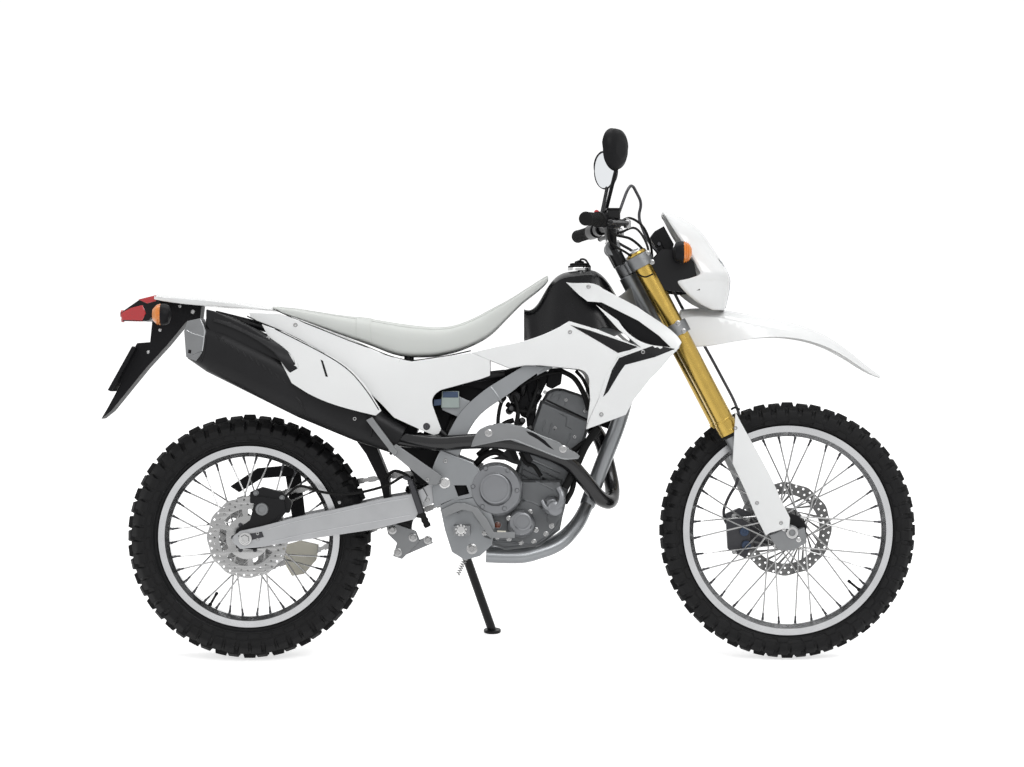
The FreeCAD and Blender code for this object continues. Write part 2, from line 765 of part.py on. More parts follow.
def toothed_wheel(centre, y, teeth, inner):
    """Chain sprocket with pointed teeth that stop inside the rollers."""
    pitch_radius = chain_pitch / 2 / math.sin(math.pi / teeth)
    tip = pitch_radius - chain_roller_diameter / 2 - disc_gap / 2
    root = tip - chain_roller_diameter / 2
    points = []
    for number in range(teeth):
        for share, radius in zip(tooth_shares, (tip, tip, root, root)):
            angle = 2 * math.pi * (number + share) / teeth
            points.append(centre + V(radius * math.sin(angle), y - disc_wall / 2, radius * math.cos(angle)))
    plate = Part.Face(Part.makePolygon(points + [points[0]])).extrude(V(0, disc_wall, 0))
    middle = centre + V(0, y, 0)
    plate = plate.cut(Part.makeCylinder(inner, disc_wall * 2, middle - side_axis * disc_wall, side_axis))
    windows = []
    window_count = 6
    window_radius = (root - inner) / 4
    window_place = (root + inner) / 2
    for number in range(window_count if teeth > rear_sprocket_teeth / 2 else 0):
        angle = 2 * math.pi * number / window_count
        place = middle + V(window_place * math.sin(angle), -disc_wall, window_place * math.cos(angle))
        windows.append(Part.makeCylinder(window_radius, disc_wall * 2, place, side_axis))
    return plate.cut(windows) if windows else plate


def front_sprocket():
    centre = V(front_sprocket_x, 0, front_sprocket_z)
    return toothed_wheel(centre, chain_y, front_sprocket_teeth, pivot_diameter / 2)


def front_wheel_pieces():
    return {
        "front_tyre": tyre(front_axle, front_tyre_radius, front_tyre_width, front_rim_radius,
                           front_rim_width, front_lug_pitches),
        "front_rim": rim(front_axle, front_rim_radius, front_rim_width),
        "front_spokes": Part.makeCompound(spokes(front_axle, front_rim_radius, front_hub_width,
                                                 front_spoke_count, front_rim_width)),
        "front_hub": hub(front_axle, front_hub_radius, front_hub_width, front_axle_diameter,
                         front_hub_width / 2),
        "front_disc": disc(front_axle, front_disc_radius, front_disc_y, front_hub_radius),
    }


def rear_wheel_pieces():
    return {
        "rear_tyre": tyre(rear_axle, rear_tyre_radius, rear_tyre_width, rear_rim_radius,
                          rear_rim_width, rear_lug_pitches),
        "rear_rim": rim(rear_axle, rear_rim_radius, rear_rim_width),
        "rear_spokes": Part.makeCompound(spokes(rear_axle, rear_rim_radius, rear_hub_width,
                                                rear_spoke_count, rear_rim_width)),
        "rear_hub": hub(rear_axle, rear_hub_radius, rear_hub_width, rear_axle_diameter,
                        chain_y - disc_wall / 2 - seat_gap),
        "rear_disc": disc(rear_axle, rear_disc_radius, rear_disc_y, rear_hub_radius),
        "rear_sprocket": toothed_wheel(rear_axle, chain_y, rear_sprocket_teeth, rear_hub_radius),
    }


# Frame, in silver-painted steel

def head_tube():
    low = fork_point(lower_clamp_place + clamp_height / 2 + seat_gap, 0)
    high = fork_point(upper_clamp_place - clamp_height / 2 - seat_gap, 0)
    bore = stem_diameter + seat_gap * 2
    return rod(low, high, head_tube_diameter), rod(low - fork_up * overrun, high + fork_up * overrun, bore)


def head_beam(gap):
    """Right-hand beam from the spar forward to the head tube, grown by a gap all round."""
    outer = -spar_half_spacing
    top_x, top_z = frame_spot(spar_top_px, outer)
    head = fork_point((lower_clamp_place + upper_clamp_place) / 2, 0)
    wide = spar_wall + gap * 2
    return beam(V(top_x, outer + spar_wall / 2, top_z), head + V(-head_tube_diameter / 4, -spar_wall / 4, 0),
                (wide, spar_width * spar_end_share + gap * 2), (wide, spar_width * spar_head_share + gap * 2))


def frame_main():
    """Head tube, gusset box and the two beams down to the pivot plates."""
    tube, bore = head_tube()
    outer = -spar_half_spacing
    lower = slab(spar_edge_px, outer + spar_wall, outer)
    right = joined([lower, head_beam(0)])
    cross = slab(shock_cross_px, -outer - spar_wall, outer + spar_wall)
    return joined([tube, right, mirrored(right), cross]).cut(bore)


def beam(start, end, start_size, end_size):
    """A box section that changes its size along its length. Sizes are width and height."""
    wires = []
    for centre, (width, height) in ((start, start_size), (end, end_size)):
        corners = [centre + V(0, y * width / 2, z * height / 2)
                   for y, z in ((-1, -1), (1, -1), (1, 1), (-1, 1))]
        wires.append(Part.makePolygon(corners + [corners[0]]))
    return Part.makeLoft(wires, True, True)


def frame_cradle(casting, frame):
    """One tube down from the head, forked into two that run under the engine."""
    top = fork_point(lower_clamp_place + down_tube_above, -down_tube_back)
    middle = [V(x, 0, z) for x, z in spots(down_tube_px, 0)]
    front = pipe([top] + middle, down_tube_diameter)
    side = []
    for place, share in zip(cradle_side_px, cradle_spread_share):
        y = -cradle_half_spacing * share
        x, z = frame_spot(place, y)
        side.append(V(x, y, z))
    right = pipe([middle[-1]] + side, cradle_diameter).cut(casting)
    ball = Part.makeSphere(down_tube_diameter / 2, middle[-1])
    tube, _ = head_tube()
    return joined([front, ball, right, mirrored(right)]).cut([frame, tube])


def pivot_plates(frame):
    """Cast plates that carry the swingarm's pivot, and the casting under them."""
    outer = -plate_half_spacing
    plate = slab(plate_px, outer + plate_wall, outer).cut(frame)
    window = slab(plate_window_px, outer + plate_wall + overrun, outer - overrun)
    casting = slab(casting_px, outer + plate_wall, outer)
    return plate.cut(window), casting


def stand_mount():
    """Boss on the left casting, with the pin that the side stand turns on."""
    pivot = V(stand_pivot_x, stand_pivot_y, stand_pivot_z)
    hinge = stand_axis()
    half = stand_eye_length / 2 + seat_gap
    boss_length = (stand_pivot_y - plate_half_spacing) / hinge.y
    boss = Part.makeCylinder(stand_boss_radius, boss_length, pivot - hinge * (half + boss_length), hinge)
    pin = Part.makeCylinder(stand_pin_radius, half * 2 + stand_head_wall, pivot - hinge * half, hinge)
    head = Part.makeCylinder(stand_head_radius, stand_head_wall, pivot + hinge * half, hinge)
    return [boss, pin, head]


def subframe(saddle):
    """Seat rails with a stay each, a cross tube, and blocks under the seat and side covers."""
    y = -(spar_half_spacing - spar_wall - rail_diameter / 2 - seat_gap)
    rail = pipe([V(x, y, z) for x, z in spots(seat_rail_px, y)], rail_diameter, rail_bend_share)
    (low_x, low_z), (high_x, high_z) = spots(stay_px, y)
    stay = rod(V(low_x, y, low_z), V(high_x, y, high_z), rail_diameter)
    tail_x, tail_z = frame_spot(seat_rail_px[-1], y)
    cross_end = V(tail_x + rail_diameter, y, tail_z - rail_diameter / 4)
    cross = rod(cross_end, V(cross_end.x, -y, cross_end.z), rail_cross_diameter)
    blocks = []
    for place in seat_block_px:
        x, z = frame_spot(place, y)
        blocks.append(Part.makeCylinder(seat_block_radius, seat_block_reach, V(x, y, z)))
        blocks.append(Part.makeCylinder(cover_block_radius, cover_block_reach, V(x, y, z), V(0, -1, 0)))
    beyond = bulged_skin(cover_columns_px, cover_rows_py, cover_share, cover_half_width, -overrun * 2,
                         panel_wall + seat_gap)
    right = joined([rail, stay] + blocks).cut([saddle, beyond])
    return joined([right, mirrored(right), cross])


# Swingarm, rear suspension and chain

def swingarm():
    """Two box arms, drawn in to the pivot tube, with a cross brace behind it."""
    outer = -arm_half_spacing
    inner = outer + arm_wall
    arm = slab(arm_px, inner, outer)
    pivot_inner = -arm_pivot_half_spacing + arm_wall
    knee = slab(knee_px, pivot_inner, outer)
    boss_arm = slab(knee_boss_px, pivot_inner, -arm_pivot_half_spacing)
    pivot = V(pivot_x, -arm_pivot_half_spacing, pivot_z)
    boss = Part.makeCylinder(pivot_boss_radius, arm_pivot_half_spacing * 2, pivot, side_axis)
    brace_x, brace_z = frame_spot(brace_px, inner)
    brace = Part.makeBox(brace_length, -inner * 2, brace_height,
                         V(brace_x - brace_length / 2, inner, brace_z - brace_height / 2))
    right = joined([arm, knee, boss_arm])
    whole = joined([right, mirrored(right), boss, brace])
    slot = Part.makeCylinder(rear_axle_diameter / 2 + seat_gap, arm_half_spacing * 2 + overrun,
                             rear_axle - side_axis * (arm_half_spacing + overrun / 2), side_axis)
    bore = Part.makeCylinder(pivot_diameter / 2 + seat_gap, arm_half_spacing * 2,
                             V(pivot_x, -arm_half_spacing, pivot_z), side_axis)
    return whole.cut([slot, bore])


def rear_axle_pieces():
    """Axle with its nut and head outside the arms, and chain adjuster blocks."""
    reach = arm_half_spacing + axle_end
    shaft = Part.makeCylinder(rear_axle_diameter / 2, reach * 2, rear_axle - side_axis * reach, side_axis)
    nuts = []
    for side in (-1, 1):
        start = rear_axle + side_axis * (side * (arm_half_spacing + seat_gap))
        nuts.append(Part.makeCylinder(axle_nut_radius, axle_nut_wall, start, side_axis * side))
    spacers = []
    for near, far in ((-arm_half_spacing + arm_wall + seat_gap, rear_disc_y - disc_wall / 2 - disc_gap),
                      (chain_y + disc_wall / 2 + disc_gap, arm_half_spacing - arm_wall - seat_gap)):
        start = rear_axle + side_axis * near
        spacers.append(Part.makeCylinder(axle_spacer_radius, far - near, start, side_axis))
    return joined([shaft] + nuts + spacers)


def chain_circle(teeth):
    return chain_pitch / 2 / math.sin(math.pi / teeth)


def chain_ring(grow, y, wide):
    """The loop round both sprockets as a filled plate, with its outline moved out by grow."""
    big = chain_circle(rear_sprocket_teeth) + grow
    small = chain_circle(front_sprocket_teeth) + grow
    fore = V(front_sprocket_x, y, front_sprocket_z)
    aft = V(0, y, rear_tyre_radius)
    span = fore - aft
    slope = math.atan2(span.z, span.x)
    fan = math.acos((big - small) / span.Length)
    edges = []
    ends = []
    for centre, radius, middle in ((fore, small, slope), (aft, big, slope + math.pi)):
        reach = fan if centre is fore else math.pi - fan
        spots_round = [centre + V(math.cos(middle + turn), 0, math.sin(middle + turn)) * radius
                       for turn in (reach, 0, -reach)]
        edges.append(Part.Arc(*spots_round).toShape())
        ends.append((spots_round[0], spots_round[2]))
    edges.insert(1, Part.LineSegment(ends[0][1], ends[1][0]).toShape())
    edges.append(Part.LineSegment(ends[1][1], ends[0][0]).toShape())
    return Part.Face(Part.Wire(edges)).extrude(V(0, wide, 0))


def drive_chain():
    """Fixed loop round both sprockets: a core of rollers, with a wider link plate at every second pitch."""
    big = chain_circle(rear_sprocket_teeth)
    small = chain_circle(front_sprocket_teeth)
    aft = V(0, 0, rear_tyre_radius)
    fore = V(front_sprocket_x, 0, front_sprocket_z)
    span = fore - aft
    slope = math.atan2(span.z, span.x)
    tilt = math.asin((big - small) / span.Length)
    straight = span.Length * math.cos(tilt)
    core_width = chain_width * chain_core_share
    half = chain_roller_diameter / 2
    core = chain_ring(half, chain_y - core_width / 2, core_width).cut(
        chain_ring(-half, chain_y - chain_width, chain_width * 2))
    runs = []
    for side in (-1, 1):
        turn = slope + side * (math.pi / 2 - tilt)
        along = slope - side * tilt
        count = int(straight / chain_pitch / 2)
        begin = aft + V(math.cos(turn), 0, math.sin(turn)) * big
        for number in range(count):
            way = straight * (number + 0.5) / count
            runs.append((begin + V(math.cos(along), 0, math.sin(along)) * way, along))
    for centre, radius, reach, middle in ((aft, big, math.pi / 2 + tilt, slope + math.pi),
                                          (fore, small, math.pi / 2 - tilt, slope)):
        count = int(2 * reach * radius / chain_pitch / 2)
        for number in range(count):
            turn = middle - reach + 2 * reach * (number + 0.5) / count
            runs.append((centre + V(math.cos(turn), 0, math.sin(turn)) * radius, turn + math.pi / 2))
    links = []
    long = chain_pitch * link_plate_share
    for centre, angle in runs:
        block = Part.makeBox(long, chain_width, chain_plate_height,
                             V(-long / 2, -chain_width / 2, -chain_plate_height / 2))
        block.rotate(V(0, 0, 0), side_axis, -math.degrees(angle))
        block.translate(V(centre.x, chain_y, centre.z))
        links.append(block)
    rooms = []
    for centre, radius in ((aft, big), (fore, small)):
        rooms.append(Part.makeCylinder(radius - half, disc_wall + disc_gap * 2,
                                       centre + side_axis * (chain_y - disc_wall / 2 - disc_gap), side_axis))
    return core.fuse(links).cut(rooms)


def chain_guard():
    """Cover over the chain's upper run, on an arm from the swingarm's left side."""
    y = chain_y + chain_width / 2 + running_gap / 2
    cover = slab(chain_cover_px, y - chain_cover_width, y)
    seat = arm_half_spacing - arm_wall - seat_gap
    arm = slab(guard_arm_px, seat - panel_wall, seat)
    return joined([cover, arm])


def rear_suspension(frame, arms):
    """Single shock with its spring, leaning forward over the linkage."""
    top_x, top_z = frame_spot(shock_top_px)
    low_x, low_z = frame_spot(shock_low_px)
    top = V(top_x, 0, top_z)
    low = V(low_x, 0, low_z)
    line = (low - top).normalize()
    length = (low - top).Length
    across = V(-line.z, 0, line.x)
    body_radius = shock_body_diameter / 2
    seat_radius = shock_diameter / 2
    coil_radius = seat_radius - shock_coil_inset
    rod_radius = shock_rod_diameter / 2
    spring_start = shock_top_length + shock_seat_wall
    spring_end = length - shock_foot_length - shock_seat_wall
    pitch = (spring_end - spring_start) / shock_coils
    profile = [(0, 0), (0, body_radius), (shock_top_length, body_radius), (shock_top_length, seat_radius),
               (spring_start, seat_radius)]
    for number in range(shock_coils):
        begin = spring_start + pitch * number
        profile += [(begin + pitch * share, radius) for share, radius in
                    zip(coil_shares, (body_radius, body_radius, coil_radius, coil_radius))]
    seat_end = spring_end + shock_seat_wall
    profile += [(spring_end, body_radius), (spring_end, seat_radius), (seat_end, seat_radius),
                (seat_end, rod_radius), (length, rod_radius), (length, 0)]
    points = [top + line * way + across * reach for way, reach in profile]
    body = Part.Face(Part.makePolygon(points + [points[0]])).revolve(top, line, 360)
    eye_start = low - side_axis * (shock_eye_length / 2)
    eye = Part.makeCylinder(shock_eye_diameter / 2, shock_eye_length, eye_start, side_axis)
    half = shock_link_width / 2
    link = slab(shock_link_px, half, -half)
    return joined([body, eye, link]).cut([frame, arms])


# Engine

def eased(shape, amount):
    """A plate between two widths, with the edges of both faces chamfered."""
    box = shape.BoundBox
    rims = [edge for edge in shape.Edges
            if edge.BoundBox.YLength < amount / 4
            and min(abs(edge.BoundBox.YMin - box.YMin), abs(edge.BoundBox.YMax - box.YMax)) < amount / 4]
    return shape.makeChamfer(amount, rims)


def engine_block():
    """Crankcase, cylinder, head and head cover as one block."""
    case = eased(slab(case_px, case_left_width, -case_half_width), casting_chamfer)
    cylinder = eased(slab(cylinder_px, cylinder_half_width, -cylinder_half_width), casting_chamfer)
    head = eased(slab(top_end_px, head_half_width, -head_half_width), casting_chamfer)
    cover = eased(slab(head_cover_px, head_cover_half_width, -head_cover_half_width), casting_chamfer)
    return joined([case, cylinder, head, cover])


def round_cover(place_px, radius, depth, side, width, chamfer_share=0.25):
    """A domed round cover that stands out from one side of the crankcase."""
    y = side * width
    x, z = frame_spot(place_px, y)
    start = V(x, y + side * seat_gap, z)
    cover = Part.makeCylinder(radius, depth, start, side_axis * side)
    edge = depth * chamfer_share
    rims = [e for e in cover.Edges if e.Closed and abs(abs(e.CenterOfMass.y) - abs(y) - depth) < depth / 4]
    return cover.makeChamfer(edge, rims)


def engine_covers():
    """Clutch cover with its cap, pump and small covers on the right, generator on the left."""
    right = case_half_width
    clutch = round_cover(clutch_px, clutch_radius, cover_depth, -1, right)
    cap = round_cover(clutch_px, clutch_cap_radius, clutch_cap_depth, -1, right)
    small = round_cover(small_cover_px, small_cover_radius, small_cover_depth, -1, right)
    pump = round_cover(pump_px, pump_radius, pump_depth, -1, right)
    generator = round_cover(generator_px, generator_radius, generator_depth, 1, case_left_width)
    inner = plate_wall - plate_half_spacing + seat_gap
    plates = [grown_slab(places, inner, -plate_half_spacing - seat_gap, seat_gap)
              for places in (plate_px, casting_px)]
    return joined([clutch, cap, small, pump]).cut(plates), generator


def intake_box():
    """Air box under the seat, with the inner guard in front of the rear tyre."""
    box = slab(airbox_px, airbox_half_width, -airbox_half_width)
    guard = slab(mud_guard_px, mud_guard_half_width, -mud_guard_half_width)
    return joined([box, guard])


def radiator(cradle):
    """Cooling core on the left, with a tank at its upper end and two arms from the down tube."""
    core = slab(radiator_px, radiator_near, radiator_far)
    tank = slab(radiator_tank_px, radiator_near - radiator_tank_step, radiator_far + radiator_tank_step)
    arms = []
    for outer_place, inner_place in radiator_arms_px:
        outer_x, z = frame_spot(outer_place, radiator_near)
        inner_x = frame_spot(inner_place, 0)[0]
        outer = V(outer_x, radiator_near + radiator_arm_diameter, z)
        arms.append(rod(outer, V(inner_x, 0, z), radiator_arm_diameter))
    return joined([core, tank] + [arm.cut(cradle) for arm in arms])


# Exhaust

def exhaust_pipe(engine, can):
    points = []
    for px, py, y in header_route_px:
        x, z = frame_spot((px, py), y)
        points.append(V(x, y, z))
    return pipe(points, header_diameter).cut([engine, can])


def oval(centre, along, width, height):
    """Upright wire with two flat sides and round ends, across a direction in the side view."""
    up = V(-along.z, 0, along.x)
    radius = width / 2
    rise = up * (height / 2 - radius)
    left = side_axis * radius
    top = [centre + rise + left, centre + rise + up * radius, centre + rise - left]
    base = [centre - rise - left, centre - rise - up * radius, centre - rise + left]
    return Part.Wire([Part.Arc(*top).toShape(), Part.LineSegment(top[2], base[0]).toShape(),
                      Part.Arc(*base).toShape(), Part.LineSegment(base[2], top[0]).toShape()])


def muffler(gap, rise=0.0):
    """Can with flat sides that tapers forward into the pipe, grown by a gap and raised if asked."""
    (rear_x, rear_z), (front_x, front_z) = spots(muffler_axis_px, muffler_y)
    start = V(rear_x, muffler_y, rear_z)
    finish = V(front_x, muffler_y, front_z)
    along = (finish - start).normalize()
    up = V(-along.z, 0, along.x)
    if up.z < 0:
        along = along * -1
        up = up * -1
        start, finish = finish, start
    length = (finish - start).Length
    wires = []
    for place, size in muffler_stations_share:
        centre = start + along * (length * place) + up * rise
        wires.append(oval(centre, along, muffler_width * size + gap * 2, muffler_height * size + gap * 2))
    return Part.makeLoft(wires, True, True)


def muffler_cover(can):
    """Dark cover that stands over the can's upper side, behind the white panel."""
    whole = muffler(cover_swell, cover_rise)
    edge = muffler_y - muffler_width
    return joined(whole.common(slab(muffler_cover_px, muffler_y + muffler_width, edge)).cut(can).Solids)


def muffler_cap(can):
    """Bright end cap with the outlet in it."""
    y = muffler_y - cap_half_width
    block = slab(cap_px_outline, muffler_y + cap_half_width, y)
    (rear_x, rear_z), (front_x, front_z) = spots(muffler_axis_px, muffler_y)
    along = V(front_x - rear_x, 0, front_z - rear_z).normalize()
    mouth = Part.makeCylinder(outlet_diameter / 2, outlet_depth + overrun,
                              V(rear_x, muffler_y, rear_z) - along * overrun, along)
    return block.cut([can, mouth])


def heat_shield():
    y = header_reach - header_diameter / 2 - seat_gap
    return slab(shield_px, y, y - panel_wall)


# Bodywork

def body_skin(layer):
    return bulged_skin(side_columns_px, side_rows_py, side_share, shroud_half_width, panel_wall, layer)


def cover_skin(layer, wall=panel_wall):
    return bulged_skin(cover_columns_px, cover_rows_py, cover_share, cover_half_width, wall, layer)


def body_panels():
    """White panels that follow two curved sides, mirrored left and right."""
    reach = -(shroud_half_width + overrun)
    outer = body_skin(0)
    inner = body_skin(panel_wall + seat_gap)
    rear = panel(rear_panel_px, cover_skin(-rear_panel_out), reach)
    pads = []
    pad_length = cover_half_width + rear_panel_out - panel_wall + muffler_y
    for place in rear_pad_px:
        x, z = frame_spot(place, -cover_half_width)
        pads.append(Part.makeCylinder(rear_pad_radius, pad_length, V(x, muffler_y, z), V(0, -1, 0)))
    box = panel(tool_box_px, cover_skin(-rear_panel_out, tool_box_depth), reach)
    return {
        "shroud_strips": both_sides(panel(shroud_strip_px, outer, reach)),
        "front_shrouds": both_sides(panel(shroud_front_px, outer, reach).cut(
            slab(shroud_strip_px, 0, reach))),
        "side_panels": both_sides(panel(side_panel_px, inner, reach)),
        "side_covers": both_sides(panel(side_cover_px, cover_skin(0), reach)),
        "rear_panels": Part.makeCompound([joined([rear] + pads).cut(muffler(seat_gap)),
                                          mirrored(joined([rear, box]))]),
    }


def fuel_tank(cradle):
    """Tank under the front of the seat, crowned on top and narrow towards the head."""
    wires = []
    for (px, top, low), low_share, high_share in zip(tank_columns_px, tank_low_share, tank_high_share):
        x, z_high = frame_spot((px, top))
        z_low = frame_spot((px, low))[1]
        wires.append(section_ring(x, z_low, z_high, tank_half_width * low_share,
                                  tank_half_width * high_share, tank_crown))
    tank = Part.makeLoft(wires, True, False)
    beams = head_beam(seat_gap)
    return tank.cut([beams, mirrored(beams), head_tunnel(), cradle] + turned_clamps())


def turned_clamps():
    """Room for the fork's clamps and tubes where they swing back as the bars turn."""
    low = fork_point(0, 0)
    rooms = []
    for side in (-1, 1):
        y = side * fork_spacing / 2
        foot = fork_point(fork_outer_bottom, clamp_offset, y)
        top = fork_point(fork_outer_top, clamp_offset, y)
        shapes = [rod(foot, top, fork_outer_diameter + running_gap * 2)]
        for place in (lower_clamp_place, upper_clamp_place):
            start = fork_point(place - clamp_height / 2 - running_gap, clamp_offset, y)
            shapes.append(Part.makeCylinder(fork_outer_diameter * clamp_ring_share + running_gap,
                                            clamp_height + running_gap * 2, start, fork_up))
            shapes.append(clamp_bridge(place, running_gap))
        for share in clamp_turn_shares:
            for shape in shapes:
                room = shape.copy()
                room.rotate(low, fork_up, side * steering_lock_deg * share)
                rooms.append(room)
    return rooms


def head_tunnel():
    """Room for the head tube and the down tube's upper end."""
    low = fork_point(lower_clamp_place - overrun, 0)
    high = fork_point(upper_clamp_place + overrun, 0)
    return rod(low, high, head_tube_diameter + running_gap)


def fuel_cap(tank):
    x, z = frame_spot(cap_px)
    base = V(x, 0, z)
    cap = Part.makeCylinder(cap_diameter / 2, cap_base_height, base)
    knob = Part.makeCylinder(cap_knob_diameter / 2, cap_height, base)
    return joined([cap, knob]).cut(tank)


def seat():
    """One-piece seat, thin and wide at the tail, rising onto the tank at the front."""
    wires = []
    for (px, top, low), share in zip(seat_stations_px, seat_share_wide):
        x, z_high = frame_spot((px, top))
        z_low = frame_spot((px, low))[1]
        half = seat_half_width * share
        crown = min(seat_crown, (z_high - z_low) / 2)
        wires.append(section_ring(x, z_low, z_high, half, half * seat_top_share, crown))
    return Part.makeLoft(wires, True, False)


def rear_fender():
    """White tail fender that runs on behind the seat."""
    wires = []
    for (px, top, low), share in zip(tail_stations_px, tail_share):
        x, z_high = frame_spot((px, top))
        z_low = frame_spot((px, low))[1]
        half = tail_half_width * share
        wires.append(section_ring(x, z_low, z_high, half * tail_flare_share, half, tail_crown))
    return Part.makeLoft(wires, True, False)


def tail_lamp():
    return slab(lamp_body_px, lamp_half_width, -lamp_half_width)


def plate_bracket():
    """Black bracket below the tail, with its lower flap open behind between two side walls."""
    whole = slab(bracket_px, bracket_half_width, -bracket_half_width)
    room = slab(bracket_room_px, bracket_half_width - panel_wall, panel_wall - bracket_half_width)
    return whole.cut(room)


def signal(centre, stalk_end):
    """Indicator lying fore and aft, tapered to both ends, on a stalk."""
    profile = [centre + V(signal_length / 2 * way, 0, signal_height / 2 * reach)
               for way, reach in signal_profile_shares]
    body = Part.Face(Part.makePolygon(profile + [profile[0]])).revolve(centre, V(1, 0, 0), 360)
    return joined([body, rod(stalk_end, centre, stalk_diameter)])


def rear_signals():
    x, z = frame_spot(signal_px, -signal_half_spacing)
    centre = V(x, -signal_half_spacing, z)
    inner = V(x, -bracket_half_width - seat_gap, z)
    return both_sides(signal(centre, inner))


# Feet and levers

def footpegs():
    """Rider's pegs on the pivot plates and folded passenger pegs on their arms."""
    x, z = frame_spot(peg_px, -plate_half_spacing - peg_length / 2)
    base = -plate_half_spacing - seat_gap
    corner = V(x - peg_width / 2, base - peg_length, z - peg_height / 2)
    peg = Part.makeBox(peg_width, peg_length, peg_height, corner)
    outer = muffler_y - muffler_width / 2 - seat_gap
    arm = slab(passenger_arm_px, outer, outer - peg_arm_wall)
    boss_x, boss_z = frame_spot(passenger_boss_px, base)
    boss = Part.makeCylinder(peg_height / 2, base - outer, V(boss_x, outer, boss_z), side_axis)
    passenger = slab(passenger_px, outer, outer - passenger_width)
    return both_sides(Part.makeCompound([peg, joined([arm, passenger, boss])]))


def foot_levers():
    """Brake pedal on the right and shift lever on the left."""
    y = -plate_half_spacing - seat_gap
    x, z = frame_spot(pedal_boss_px, y)
    boss = Part.makeCylinder(pedal_boss_radius, pedal_boss_length, V(x, y, z), V(0, -1, 0))
    pedal = slab(pedal_px, y - pedal_out, y - pedal_out - pedal_wall)
    return both_sides(joined([pedal, boss]))


def rear_brake():
    """Rear caliper astride the disc, and the master cylinder by the right plate."""
    half = disc_wall / 2 + disc_gap
    outer = -(arm_half_spacing - arm_wall - disc_gap)
    block = slab(caliper_px, rear_disc_y + caliper_inner_depth, (rear_disc_y + outer) / 2)
    bracket = slab(caliper_bracket_px, (rear_disc_y + outer) / 2, (rear_disc_y + outer * 3) / 4)
    slot = ring(rear_disc_radius + disc_gap, 0, half * 2, rear_axle + side_axis * rear_disc_y)
    spacer = Part.makeCylinder(axle_spacer_radius + seat_gap, arm_half_spacing,
                               rear_axle - side_axis * arm_half_spacing, side_axis)
    return joined([block, bracket]).cut([slot, spacer])


# Fork and what it carries

def clamp_bridge(place, gap):
    """Box of one clamp between the legs, grown by a gap all round."""
    bridge = Part.makeBox(clamp_bridge_depth + gap * 2, fork_spacing + gap * 2, clamp_height + gap * 2,
                          V(-gap, -fork_spacing / 2 - gap, -clamp_height / 2 - gap))
    bridge.rotate(V(0, 0, 0), side_axis, -rake_deg)
    bridge.translate(fork_point(place, 0))
    return bridge


def fork_clamps():
    """Upper and lower clamps with the stem between them."""
    shapes = []
    ring_radius = fork_outer_diameter * clamp_ring_share
    for place in (lower_clamp_place, upper_clamp_place):
        low = place - clamp_height / 2
        for side in (-1, 1):
            centre = fork_point(low, clamp_offset, side * fork_spacing / 2)
            shapes.append(Part.makeCylinder(ring_radius, clamp_height, centre, fork_up))
        shapes.append(Part.makeCylinder(stem_boss_radius, clamp_height, fork_point(low, 0), fork_up))
        shapes.append(clamp_bridge(place, 0))
    stem = rod(fork_point(lower_clamp_place - clamp_height / 2, 0),
               fork_point(upper_clamp_place + stem_above, 0), stem_diameter)
    legs = []
    for side in (-1, 1):
        legs.append(rod(fork_point(0, clamp_offset, side * fork_spacing / 2),
                        fork_point(fork_outer_top + overrun, clamp_offset, side * fork_spacing / 2),
                        fork_outer_diameter + seat_gap * 2))
    return joined(shapes + [stem]).cut(legs)


def fork_outer_tubes():
    """Gold upper tubes with a collar at the foot and a cap on top."""
    side = -fork_spacing / 2
    foot = fork_point(fork_outer_bottom, clamp_offset, side)
    tube = rod(foot, fork_point(fork_outer_top, clamp_offset, side), fork_outer_diameter)
    collar = rod(foot, fork_point(fork_outer_bottom + clamp_height, clamp_offset, side), fork_collar_diameter)
    return both_sides(joined([tube, collar]))


def fork_lowers():
    """Bright lower tubes with the feet that hold the axle, and the axle itself."""
    y = -fork_spacing / 2
    half = fork_inner_diameter / 2
    tube = rod(fork_point(0, clamp_offset, y), fork_point(fork_outer_bottom - seat_gap, clamp_offset, y),
               fork_inner_diameter)
    foot = slab(foot_lug_px, y + half, y - half, leg_spot)
    eye = Part.makeCylinder(axle_eye_radius, half * 2, front_axle + V(0, y - half, 0), side_axis)
    right = joined([tube, foot, eye])
    reach = fork_spacing / 2 + half + axle_stand_out
    axle = Part.makeCylinder(front_axle_diameter / 2, reach * 2, front_axle - side_axis * reach, side_axis)
    return joined([right, mirrored(right), axle])


def fork_guards():
    """White guards, rolled inwards at the front, on the outer side of the lower tubes."""
    side = -fork_spacing / 2
    y = side - guard_out
    profiles = []
    for out in (0, panel_wall):
        profiles.append([fork_point(-overrun, clamp_offset + ahead, y + inward - out) for ahead, inward in
                         ((-guard_behind, guard_roll_behind), (0, 0), (guard_ahead, guard_roll))])
    inner, outer = profiles
    edges = [Part.Arc(*inner).toShape(), Part.LineSegment(inner[2], outer[2]).toShape(),
             Part.Arc(*reversed(outer)).toShape(), Part.LineSegment(outer[0], inner[0]).toShape()]
    sheet = Part.Face(Part.Wire(edges)).extrude(fork_up * (fork_outer_bottom + overrun * 3))
    shell = sheet.common(slab(guard_px, 0, y - overrun, leg_spot))
    foot = side - fork_inner_diameter / 2 - seat_gap
    x, z = leg_spot(guard_boss_px, foot)
    boss = Part.makeCylinder(guard_boss_radius, foot - y + panel_wall / 2, V(x, foot, z), V(0, -1, 0))
    return both_sides(joined(shell.Solids + [boss]))


def bar_clamp():
    return fork_point(upper_clamp_place + riser_height, -riser_back)


def bar_line():
    """Bend and end of the right half of the bar, and the direction from end to bend."""
    middle = bar_clamp()
    inner = V(middle.x - bar_bend_back, -bar_half_width * bar_bend_share, bar_height + bar_diameter / 2)
    end = V(middle.x - bar_end_back, -bar_half_width, bar_height)
    return inner, end, (inner - end).normalize()


